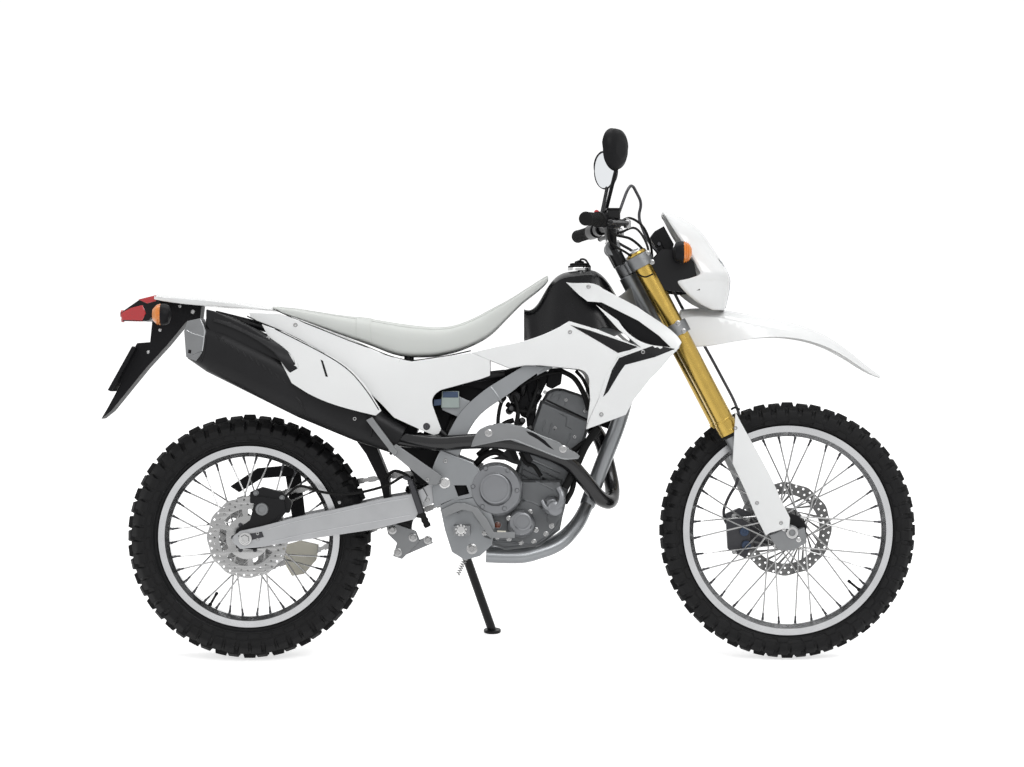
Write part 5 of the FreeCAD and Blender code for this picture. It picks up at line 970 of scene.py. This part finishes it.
bm = bmesh.new()
for index in (5, 17):
    tube(bm, [ring[index] + Z_AXIS * 0.0002 for ring in rings[2:-2]], 0.0016, 6, 1)
piece("seat_piping", bm, SEAT)

bm = bmesh.new()
strap = []
for px in (358.5, 362, 366, 370, 373):
    x = at(px, 320).x
    last = next(i for i, ring in enumerate(rings) if ring[0].x > x)
    share = (x - rings[last - 1][0].x) / (rings[last][0].x - rings[last - 1][0].x)
    ring = [one.lerp(two, share) for one, two in zip(rings[last - 1], rings[last])]
    zc = sum(p.z for p in ring) / len(ring)
    strap.append([Vector((p.x, p.y * 1.012, zc + (p.z - zc) * (1.04 if p.z > zc else 0.96))) for p in ring])
loft(bm, strap)
piece("seat_strap", bm, SEAT, sharp=50, bevel=0.0012)

# Bolts, stripes and gaps of the panels
bm = bmesh.new()
lathe(bm, on(426.5, 426.5, ("side_covers",)), RIGHT,
      [(0.0095, -0.002), (0.0095, 0.001), (0.008, 0.0022), (0.0045, 0.0022), (0.004, 0.0006)], 22)
piece("cover_bolt", bm, DARK_STEEL)
fasteners("shroud_bolts", [(601.4, 414.4), (588.6, 286.8), (570, 332), (295.5, 325), (643, 352)],
          ("front_shrouds", "side_panels", "shroud_strips", "side_covers", "rear_panels", "seat"), 0.0058, True,
          0.0026)

SHROUDS = ("front_shrouds", "side_panels", "shroud_strips")
draped("wedge_stripe", [(570, 325), (590, 330.5), (612, 338), (638, 347), (630, 350), (618, 353), (596, 340)],
       SHROUDS, BLACK_SATIN, 0.0006)
draped("chevron_stripe", [(619, 358), (655, 345), (675, 349), (655, 357), (625, 365), (620, 372), (608, 392),
                          (603, 397), (612, 370)], SHROUDS, BLACK_SATIN, 0.0006)

# Dark backing behind the opening of the strip
backing = []
wall = Y_AXIS * 0.002
for px, high, low in ((598, 297, 303), (606, 300, 309), (614, 304, 317), (622, 308, 325), (630, 312.5, 332),
                      (640, 318, 342), (650, 325, 348), (660, 333, 350), (670, 342, 350)):
    y = on(px, high - 3, ("shroud_strips",)).y + 0.0045
    backing.append([at(px, high, y), at(px, low, y), at(px, low, y) + wall, at(px, high, y) + wall])
bm = bmesh.new()
loft(bm, backing)
both(bm)
piece("shroud_backing", bm, BLACK_PLASTIC)
ribs("panel_gaps", ("side_covers", "side_panels", "rear_panels", "seat"), BLACK_PLASTIC,
     [[0.0017, (276, 310), (300, 320.8), (320, 328.8), (350, 340.8), (370, 348.2), (390, 356), (410, 360.3),
       (430, 358.3), (450, 355.2), (471, 350.6)],
      [0.0017, (247, 316), (262, 323), (280, 331.4), (300, 341.3), (330, 357.3), (350, 371.4), (366, 390),
       (379, 410)]], 0.5)
draped("panel_slot", [(320.6, 359.5), (323, 361), (328, 377), (325.6, 376.6)], ("rear_panels", "side_covers"),
       BLACK_PLASTIC, 0.0006)

# Fuel cap
cap = at(579.5, 269.5)
bm = bmesh.new()
lathe(bm, cap + Z_AXIS * 0.001, Z_AXIS, [(0.032, -0.004), (0.032, 0.003), (0.0305, 0.0045),
                                                (0.0265, 0.0045), (0.026, 0.002)], 48)
piece("cap_ring", bm, CHROME)
bm = bmesh.new()
for k in range(20):
    turn = 2 * math.pi * k / 20
    lathe(bm, cap + Vector((0.0235 * math.cos(turn), 0.0235 * math.sin(turn), 0.002)), Z_AXIS,
          [(0.0028, 0), (0.0028, 0.013), (0.0018, 0.0145)], 6)
for radius, sides, route in ((0.0045, 10, ((-0.012, 0, 0.017), (0, 0, 0.021), (0.012, 0, 0.017))),
                             (0.0028, 8, ((0, 0, 0.018), (0.004, -0.012, 0.027), (0.016, -0.026, 0.024),
                                          (0.027, -0.036, 0.006)))):
    tube(bm, [cap + Vector(step) for step in route], radius, sides)
piece("cap_grip", bm, BLACK_PLASTIC)

# Tail lamp, signals and plate
plated("tail_lens", RED, [(119.6, 312.6), (122, 321), (143, 321.4), (147, 313), (143, 303.6), (130, 307)],
       -0.0585, 0.0585, 0.004)
plated("tail_side_lens", RED, [(138, 299.4), (155.5, 295), (156.5, 296), (156.5, 301), (147, 303.6)],
       -0.0590, 0.0590, 0.003)
bm = bmesh.new()
for k in range(4):
    for px, py in ((121.6, 313.5), (122.6, 318.5)):
        lathe(bm, at(px, py, -0.044 + 0.0293 * k), Vector((-1, 0, 0.15)),
              [(0.010, -0.006), (0.010, 0.0015), (0.007, 0.003)], 18)
piece("tail_facets", bm, RED)

for name, centre, way, body in (("rear", at(161.5, 314.5, -0.110), -1, "chassis"),
                                ("front", fork_at(683, 252, -0.150), 1, "steering")):
    bm = bmesh.new()
    lathe(bm, centre, X_AXIS * -way, [(0.0286, -0.0015), (0.0290, 0.004), (0.0278, 0.012), (0.0235, 0.020),
                                      (0.012, 0.0245), (0.004, 0.0255)], 32)
    both(bm)
    piece(name + "_signal_backs", bm, BLACK_PLASTIC, body)
    bm = bmesh.new()
    for k, size in enumerate((0.0284, 0.0272, 0.0246, 0.0200)):
        lathe(bm, centre + X_AXIS * way * (0.003 + 0.0045 * k), X_AXIS * way,
              [(size, 0), (size + 0.0008, 0.0012), (size, 0.0024)], 32)
    both(bm)
    piece(name + "_signal_ribs", bm, AMBER, body)

plated("blank_plate", BLACK_PLASTIC, [(132, 346), (135.5, 347.6), (111, 391.5), (107.5, 390)], -0.085, 0.085, 0.001)
bm = bmesh.new()
lathe(bm, at(193, 311.6, -0.0425), RIGHT, [(0.006, -0.003), (0.006, 0.001), (0.0045, 0.0022)], 18)
for px, py in ((180, 306), (160, 330), (148, 352)):
    lathe(bm, at(px, py, -0.0425), RIGHT, [(0.0042, -0.003), (0.0042, 0.0008), (0.003, 0.0015)], 14)
piece("bracket_screws", bm, STEEL)

# Muffler
plated("muffler_band", MUFFLER, [(206, 309), (214, 311), (248, 326), (270, 340), (292, 366), (296, 384), (284, 381),
                                 (262, 362), (240, 347), (212, 334), (206, 326)], -0.152, -0.128, 0.003)
ribs("muffler_bands", ("muffler",), MUFFLER,
     [[0.0028, (207, 319), (206, 331), (204.5, 350), (201, 362)], [0.0028, (296, 397), (302, 405), (306, 417)],
      [0.0028, (369, 413), (372, 425), (371, 437)]], 0.2)
draped("cap_slots", [(188.4, 349.5), (191.4, 350), (191, 353.6), (188, 353)], ("muffler_cap",), BLACK_PLASTIC,
       0.0005)
ribs("cap_edges", ("muffler_cap",), ALLOY, [[0.0012, (186.5, 330), (192, 333), (204.5, 337)],
                                            [0.0015, (200.6, 319.6), (204.5, 331), (202.4, 351)]], 0.1)
first, step, rib = Vector((216, 334)), Vector((6.6, 4.3)), Vector((3.4, 5.6))
ribs("muffler_ribs", ("muffler",), MUFFLER,
     [[0.0017, first + step * k, first + step * k + rib] for k in range(11)], 0.1)
fasteners("muffler_bolts", [(220.4, 317.8), (354.7, 418.8), (268, 338)], ("muffler", "muffler_cover"), 0.0055, True,
          0.0028)

# Swingarm, chain guide and rear brake
ARM = ("swingarm",)
fasteners("arm_bolts", [(339.5, 502.4), (257.7, 533.5), (257.7, 539.5)], ARM, 0.0048, True, 0.003)
draped("adjuster_slot", [(238, 535.5), (262, 531.5), (264, 537), (240, 543)], ARM, DARK_STEEL, 0.0005)
ribs("arm_edges", ARM, ALLOY, [[0.0020, (268, 529), (300, 520.5), (340, 512), (380, 503), (408, 498)],
                               [0.0020, (272, 541.5), (305, 534), (345, 526.5), (385, 519.5), (410, 515)]], 0.2)
bm = bmesh.new()
nut = [(0.0125, 0.0), (0.0125, 0.008), (0.011, 0.0095), (0.006, 0.0095)]
nut_y = Y_AXIS * 0.1305
lathe(bm, REAR_AXLE - nut_y, RIGHT, [(0.0165, -0.002), (0.0165, 0.001), (0.015, 0.0022)], 30)
lathe(bm, REAR_AXLE - nut_y, RIGHT, nut + [(0.0055, 0.006)], 6)
lathe(bm, REAR_AXLE + nut_y, Y_AXIS, nut, 6)
piece("rear_axle_nuts", bm, CHROME)
plated("chain_guide", CREAM, [(282, 546), (300, 541), (318, 545), (316, 560), (304, 574), (292, 576), (286, 566)],
       0.062, 0.102, 0.002)

bm = bmesh.new()
CALIPER = ("rear_brake",)
lathe(bm, on(262, 509.3, CALIPER), RIGHT, [(0.0175, -0.003), (0.0175, 0.004), (0.0155, 0.0062), (0.0105, 0.0062),
                                           (0.010, 0.004), (0.003, 0.0044)], 30)
for px, py in ((282, 498), (256, 493)):
    bolt(bm, on(px, py, CALIPER), RIGHT, 0.0055, 0.006)
piece("rear_piston_cap", bm, CAST)
bm = bmesh.new()
tube(bm, [at(286, 496, -0.088), at(300, 486, -0.125), at(322, 492, -0.128), at(350, 494, -0.128),
          at(385, 486, -0.120), at(402, 477, -0.128), at(409, 479, -0.141)], 0.0036, 10)
piece("rear_hose", bm, RUBBER)


# Rows of the headlight cowl, each as pixel down, pixels of rear edge and front, and share of its width

COWL_ROWS = ((212.5, 663, 668, 0.30), (215, 664, 676, 0.50), (221, 668, 687, 0.58), (228, 672, 697, 0.66),
             (236, 677, 704.5, 0.73), (245, 683, 710.5, 0.78), (254, 689, 716.5, 0.86), (262, 694, 721, 0.93),
             (270, 698, 725, 0.98), (276, 700, 727.3, 1.0), (280.5, 688, 728.5, 1.0), (283, 678, 728.5, 1.0),
             (290, 682, 728, 0.98), (298, 690, 726.5, 0.92), (305, 700, 725, 0.82), (311, 713, 723.4, 0.70))
COWL_HALF = 0.122


def cowl_row(py, rear, front, share):
    """Half-round row of the cowl at a height, from one rear edge round the nose to the other."""
    nose = fork_at(front, py)
    half = COWL_HALF * share
    x_rear = fork_at(rear, py, -half).x
    square = 0.86 - 0.46 * max(0.0, min(1.0, (py - 258) / 16))
    out = []
    for k in range(33):
        turn = math.pi * (k / 32 - 0.5)
        y = half * math.copysign(abs(math.sin(turn)) ** square, math.sin(turn))
        out.append(Vector((x_rear + (nose.x - x_rear) * abs(math.cos(turn)) ** 0.92, y, nose.z)))
    return out


def lens_half(py):
    return 0.064 - 0.026 * (py - 258) / 50


values = smooth_line([Vector(row[:3]) for row in COWL_ROWS], 3)
shares = smooth_line([Vector((share, 0, 0)) for *_, share in COWL_ROWS], 3)
rows = [(value.x, cowl_row(*value, share.x)) for value, share in zip(values, shares)]
bm = bmesh.new()
grid = [[bm.verts.new(co) for co in row] for _, row in rows]
for (py, _), (py_next, _), one, two in zip(rows, rows[1:], grid, grid[1:]):
    middle_py = (py + py_next) / 2
    for k in range(len(one) - 1):
        y = abs((one[k].co.y + one[k + 1].co.y) / 2)
        if 259 < middle_py < 308 and y < lens_half(middle_py):
            continue
        bm.faces.new((one[k], one[k + 1], two[k + 1], two[k]))
bm.faces.new(grid[0])
bmesh.ops.delete(bm, geom=[v for v in bm.verts if not v.link_faces], context="VERTS")
cowl = piece("cowl_shell", bm, WHITE, "steering", sharp=50)
walled(cowl, 0.0035)
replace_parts(cowl, "headlight_cowl")

lens_grid = []
for py, row in rows:
    if 257 < py < 309.5:
        half = lens_half(py) + 0.002
        lens_grid.append([Vector((co.x + 0.0015, max(-half, min(half, co.y)), co.z))
                          for co in row if abs(co.y) <= half + 0.006])
wide = min(len(row) for row in lens_grid)
bm = bmesh.new()
skin(bm, [row[(len(row) - wide) // 2:(len(row) - wide) // 2 + wide] for row in lens_grid], wrap=False)
walled(piece("lens_face", bm, CLEAR, "steering", sharp=50), 0.003)

# Fork legs, with the height of their feet along the steering axis and their place in front of it
FOOT_UP = 0.35768
LEG_OFFSET = 0.0384


def leg_point(rise, y):
    """Place on the axis of a fork leg, counted up from the axle's foot."""
    up = FOOT_UP + rise
    return Vector((GROUND_X - up * math.sin(RAKE) + LEG_OFFSET * math.cos(RAKE), y,
                   up * math.cos(RAKE) + LEG_OFFSET * math.sin(RAKE)))


def on_legs(name, material, turned):
    """Piece of turned rings on both fork legs, each given as its rise, profile and sides."""
    bm = bmesh.new()
    for y in (-0.1, 0.1):
        for rise, profile, sides in turned:
            lathe(bm, leg_point(rise, y), UP_FORK, profile, sides)
    piece(name, bm, material, "steering")


on_legs("fork_collars", GOLD,
        [(rise, [(size - 0.001, 0), (size, 0.0015), (size, tall - 0.0015), (size - 0.001, tall)], 36)
         for rise, size, tall in ((0.308, 0.0290, 0.012), (0.328, 0.0278, 0.005), (0.345, 0.0272, 0.004),
                                  (0.838, 0.0268, 0.009))])
on_legs("fork_seals", RUBBER, [(0.298, [(0.0232, 0), (0.0262, 0.002), (0.0262, 0.008), (0.024, 0.0095)], 36)])
on_legs("fork_caps", ALLOY, [(0.846, [(0.0235, 0), (0.0235, 0.004), (0.0215, 0.006), (0.0125, 0.006)], 32),
                             (0.850, [(0.0115, 0), (0.0115, 0.006), (0.010, 0.0075)], 6)])

bm = bmesh.new()
for px, py in ((647.5, 253), (652, 262), (678, 323), (683.5, 331)):
    bolt(bm, on(px, py, ("fork_clamps",)), RIGHT, 0.0052, 0.005)
risers = [Vector((0.9744, y, 1.1006)) for y in (-0.04, 0.04)]
for riser in risers:
    for x in (-0.0125, 0.0125):
        for y in (0.010, -0.010):
            bolt(bm, riser + Vector((x, y, 0.0165)), Z_AXIS, 0.0042, 0.005)
piece("clamp_bolts", bm, STEEL, "steering")
bm = bmesh.new()
for riser in risers:
    lathe(bm, riser - Y_AXIS * 0.0155, Y_AXIS, [(0.0195, 0), (0.0205, 0.0015), (0.0205, 0.0295),
                                                (0.0195, 0.031)], 32)
piece("bar_clamps", bm, CAST, "steering")

fasteners("guard_bolts", [(781, 523), (757, 503), (735.5, 428)], ("fork_guards",), 0.0052, True, 0.0026,
          "steering")
ribs("hose_clamp", ("fork_guards",), BLACK_PLASTIC, [[0.0028, (731, 409.5), (735, 407.5), (740, 409.5)]], 0.1,
     "steering")

# Front axle and caliper
bm = bmesh.new()
for side in (-1, 1):
    out = Y_AXIS * side
    lathe(bm, FRONT_AXLE + out * 0.1258, out, [(0.0155, -0.004), (0.0155, 0.002), (0.014, 0.0035),
                                               (0.009, 0.0035), (0.0085, -0.001)], 30)
    for x, z in ((0.018, -0.019), (-0.020, 0.010)):
        bolt(bm, FRONT_AXLE + Vector((x, side * 0.1216, z)), out, 0.0048, 0.005)
piece("front_axle_ends", bm, CHROME, "steering")
bm = bmesh.new()
for px, py in ((746, 532.5), (748, 546)):
    lathe(bm, leg_at(px, py, 0.0445), RIGHT, [(0.0125, -0.004), (0.0125, 0.004), (0.011, 0.0055),
                                              (0.0065, 0.0055), (0.006, 0.0035)], 26)
piece("front_piston_caps", bm, TEAL, "steering")
bm = bmesh.new()
for px, py in ((736, 517), (736, 553), (750, 520)):
    bolt(bm, leg_at(px, py, 0.049), RIGHT, 0.005, 0.005)
piece("caliper_bolts", bm, STEEL, "steering")

# Handlebar on the right, from its end to its first bend
END = Vector((0.8929, -0.400, 1.157))
BEND = Vector((0.9679, -0.144, 1.1681))
LINE = (BEND - END).normalized()
bm = bmesh.new()
for k in range(22):
    lathe(bm, END + LINE * (0.008 + 0.0048 * k), LINE,
          [(0.0164, 0), (0.0174, 0.0008), (0.0174, 0.0018), (0.0164, 0.0026)], 24)
lathe(bm, END - LINE * 0.0045, LINE, [(0.0165, 0), (0.0182, 0.0012), (0.0182, 0.0044), (0.0165, 0.006)], 28)
lathe(bm, END + LINE * 0.114, LINE, [(0.017, 0), (0.0205, 0.0015), (0.0205, 0.005), (0.017, 0.0065)], 28)
both(bm)
piece("grip_ribs", bm, RUBBER, "steering")

bm = bmesh.new()
for turn_deg, size in ((200, 0.0052), (235, 0.0044), (160, 0.004)):
    out = Matrix.Rotation(math.radians(turn_deg), 4, LINE) @ across(LINE)[0]
    lathe(bm, END + LINE * 0.148 + out * 0.0195, out, [(size, -0.002), (size, 0.003), (size * 0.8, 0.0045)], 16)
both(bm)
piece("switch_buttons", bm, BLACK_PLASTIC, "steering", bevel=0.0004)
bm = bmesh.new()
lathe(bm, fork_at(597, 212.5, -0.262), Vector((-0.5, -0.6, 0.4)),
      [(0.0062, -0.006), (0.0062, 0.004), (0.0048, 0.006)], 18)
piece("kill_switch", bm, SWITCH_RED, "steering")

bm = bmesh.new()
for side in (-1, 1):
    pivot = Vector((1.0062, side * 0.2106, 1.1561))
    bolt(bm, pivot + Z_AXIS * 0.008, Z_AXIS, 0.0052, 0.006)
    lathe(bm, pivot - Z_AXIS * 0.012, Z_AXIS, [(0.0085, 0), (0.0095, 0.001), (0.0095, 0.019), (0.0085, 0.020)],
          20)
piece("lever_pivots", bm, STEEL, "steering")
bm = bmesh.new()
reservoir = Vector((0.9786, -0.1967, 1.1567)) - LINE * 0.034
for x, y, z, tall in ((0.016, 0.024, 0.012, 0.022), (0.019, 0.027, 0.034, 0.005)):
    corners = (-x, -y), (x, -y), (x + 0.002, 0), (x, y), (-x, y), (-x - 0.002, 0)
    plate(bm, [reservoir + Vector((*corner, z)) for corner in corners], Z_AXIS * tall)
piece("brake_reservoir", bm, BLACK_PAINT, "steering", bevel=0.0015)

# Cables from the bar, each as its radius and its places
CABLES = (
    (0.0034, (0.985, -0.205, 1.160), (1.015, -0.185, 1.172), (1.052, -0.140, 1.150), (1.075, -0.085, 1.100),
     (1.078, -0.060, 1.045), (1.066, -0.050, 0.985)),
    (0.0036, END + LINE * 0.150 + Vector((0.018, 0, -0.010)), (0.972, -0.215, 1.128), (1.020, -0.150, 1.118),
     (1.062, -0.095, 1.080), (1.070, -0.05, 1.03)),
    (0.0032, END + LINE * 0.158 + Vector((0.016, 0, -0.014)), (0.962, -0.200, 1.108), (1.010, -0.130, 1.082),
     (1.055, -0.070, 1.050), (1.060, -0.035, 1.01)),
    (0.0034, (1.004, 0.200, 1.156), (1.045, 0.150, 1.165), (1.075, 0.090, 1.110), (1.072, 0.05, 1.04),
     (1.058, 0.04, 0.985)),
    (0.0040, (0.965, 0.230, 1.150), (1.000, 0.170, 1.125), (1.050, 0.100, 1.085), (1.062, 0.045, 1.02)),
)
bm = bmesh.new()
for radius, *route in CABLES:
    tube(bm, [Vector(spot) for spot in route], radius, 8)
piece("bar_cables", bm, RUBBER, "steering")
ribs("cable_tie", ("fork_outer_tubes",), BLACK_PLASTIC, [[0.0022, (638, 274), (645, 277), (653, 274)]], 0.1,
     "steering")

# Mirrors and meter
outline = []
for k in range(40):
    angle = 2 * math.pi * k / 40
    c, s = math.cos(angle), math.sin(angle)
    outline.append(Vector((0, 0.0415 * (1 - 0.14 * max(0, -s)) * math.copysign(abs(c) ** 0.86, c),
                           0.050 * math.copysign(abs(s) ** 0.9, s))))
bm = bmesh.new()
for side in (-1, 1):
    turn = Matrix.Rotation(math.radians(40 * side), 3, "Z")
    loft(bm, [[Vector((0.975, side * 0.330, 1.339)) + turn @ (p + X_AXIS * x) for p in outline]
              for x in (-0.0100, -0.0122)])
piece("mirror_glass", bm, GLASS, "steering")

bm = bmesh.new()
seen_plate(bm, [(655.5, 233), (664, 227.8), (665.2, 229.8), (656.8, 235)], -0.046, 0.046, fork_at)
piece("meter_window", bm, CLEAR, "steering", bevel=0.001)
bm = bmesh.new()
lathe(bm, on(659, 244, ("meter",)), RIGHT, [(0.006, -0.002), (0.006, 0.003), (0.0045, 0.005)], 18)
lathe(bm, fork_at(655, 240, -0.02), Vector((-1, 0, 0.6)), [(0.006, -0.004), (0.006, 0.004), (0.0045, 0.006)], 18)
piece("meter_knobs", bm, DARK_STEEL, "steering")


# Floor, light and camera

def largest(tree, one, two):
    """Output that is the larger of two."""
    node = tree.nodes.new("ShaderNodeMath")
    node.operation = "MAXIMUM"
    tree.links.new(one, node.inputs[0])
    tree.links.new(two, node.inputs[1])
    return node.outputs["Value"]


def seen_rays(tree):
    """Output that is 1 for rays that show the surroundings, straight or in a reflection."""
    path = tree.nodes.new("ShaderNodeLightPath").outputs
    return largest(tree, largest(tree, path["Is Camera Ray"], path["Is Glossy Ray"]), path["Is Transmission Ray"])


def floor_material():
    mat, tree, bsdf = shader("floor")
    drift = ramp(tree, noise(tree, 1.5), [(0.3, (0.86, 0.86, 0.86)), (0.7, (0.9, 0.9, 0.9))])
    tree.links.new(drift, bsdf.inputs["Base Color"])
    bsdf.inputs["Roughness"].default_value = 0.9
    bsdf.inputs["Specular IOR Level"].default_value = 0.1
    level = tree.nodes.new("ShaderNodeMath")
    level.operation = "MULTIPLY"
    level.inputs[1].default_value = 0.66
    tree.links.new(seen_rays(tree), level.inputs[0])
    bsdf.inputs["Emission Color"].default_value = (1, 1, 1, 1)
    tree.links.new(level.outputs["Value"], bsdf.inputs["Emission Strength"])
    return mat


def lamp(name, place, target, size, power):
    data = bpy.data.lights.new(name, "AREA")
    data.shape = "RECTANGLE"
    data.size, data.size_y = size
    data.energy = power
    obj = bpy.data.objects.new(name, data)
    obj.location = place
    obj.rotation_euler = (Vector(target) - Vector(place)).to_track_quat("-Z", "Y").to_euler()
    bpy.context.scene.collection.objects.link(obj)


bpy.ops.mesh.primitive_plane_add(size=160)
floor = bpy.context.object
floor.name = "floor"
floor.data.materials.append(floor_material())

lamp("key", (1.6, -3.6, 4.4), (0, 0, 0.6), (3.0, 2.0), 105)
lamp("fill", (-4.4, -3.0, 2.6), (0, 0, 0.6), (3.0, 3.0), 26)
lamp("top", (0.0, 1.2, 4.6), (0, 0, 0.5), (4.0, 1.5), 78)

world = bpy.data.worlds.new("studio")
bpy.context.scene.world = world
world.use_nodes = True
sky = world.node_tree.nodes["Background"]
sky.inputs["Color"].default_value = (1, 1, 1, 1)
choose = world.node_tree.nodes.new("ShaderNodeMapRange")
choose.inputs["To Min"].default_value = 0.44
choose.inputs["To Max"].default_value = 1.0
world.node_tree.links.new(seen_rays(world.node_tree), choose.inputs["Value"])
world.node_tree.links.new(choose.outputs["Result"], sky.inputs["Strength"])

cam_data = bpy.data.cameras.new("camera")
cam_data.sensor_width = 36.0
cam_data.lens = 91.45
cam_data.clip_end = 300
camera = bpy.data.objects.new("camera", cam_data)
bpy.context.scene.collection.objects.link(camera)
camera.matrix_world = UPRIGHT @ Matrix.Translation(EYE) @ Matrix.Rotation(math.pi / 2, 4, "X")
bpy.context.scene.camera = camera
bpy.context.scene.view_settings.view_transform = "Standard"
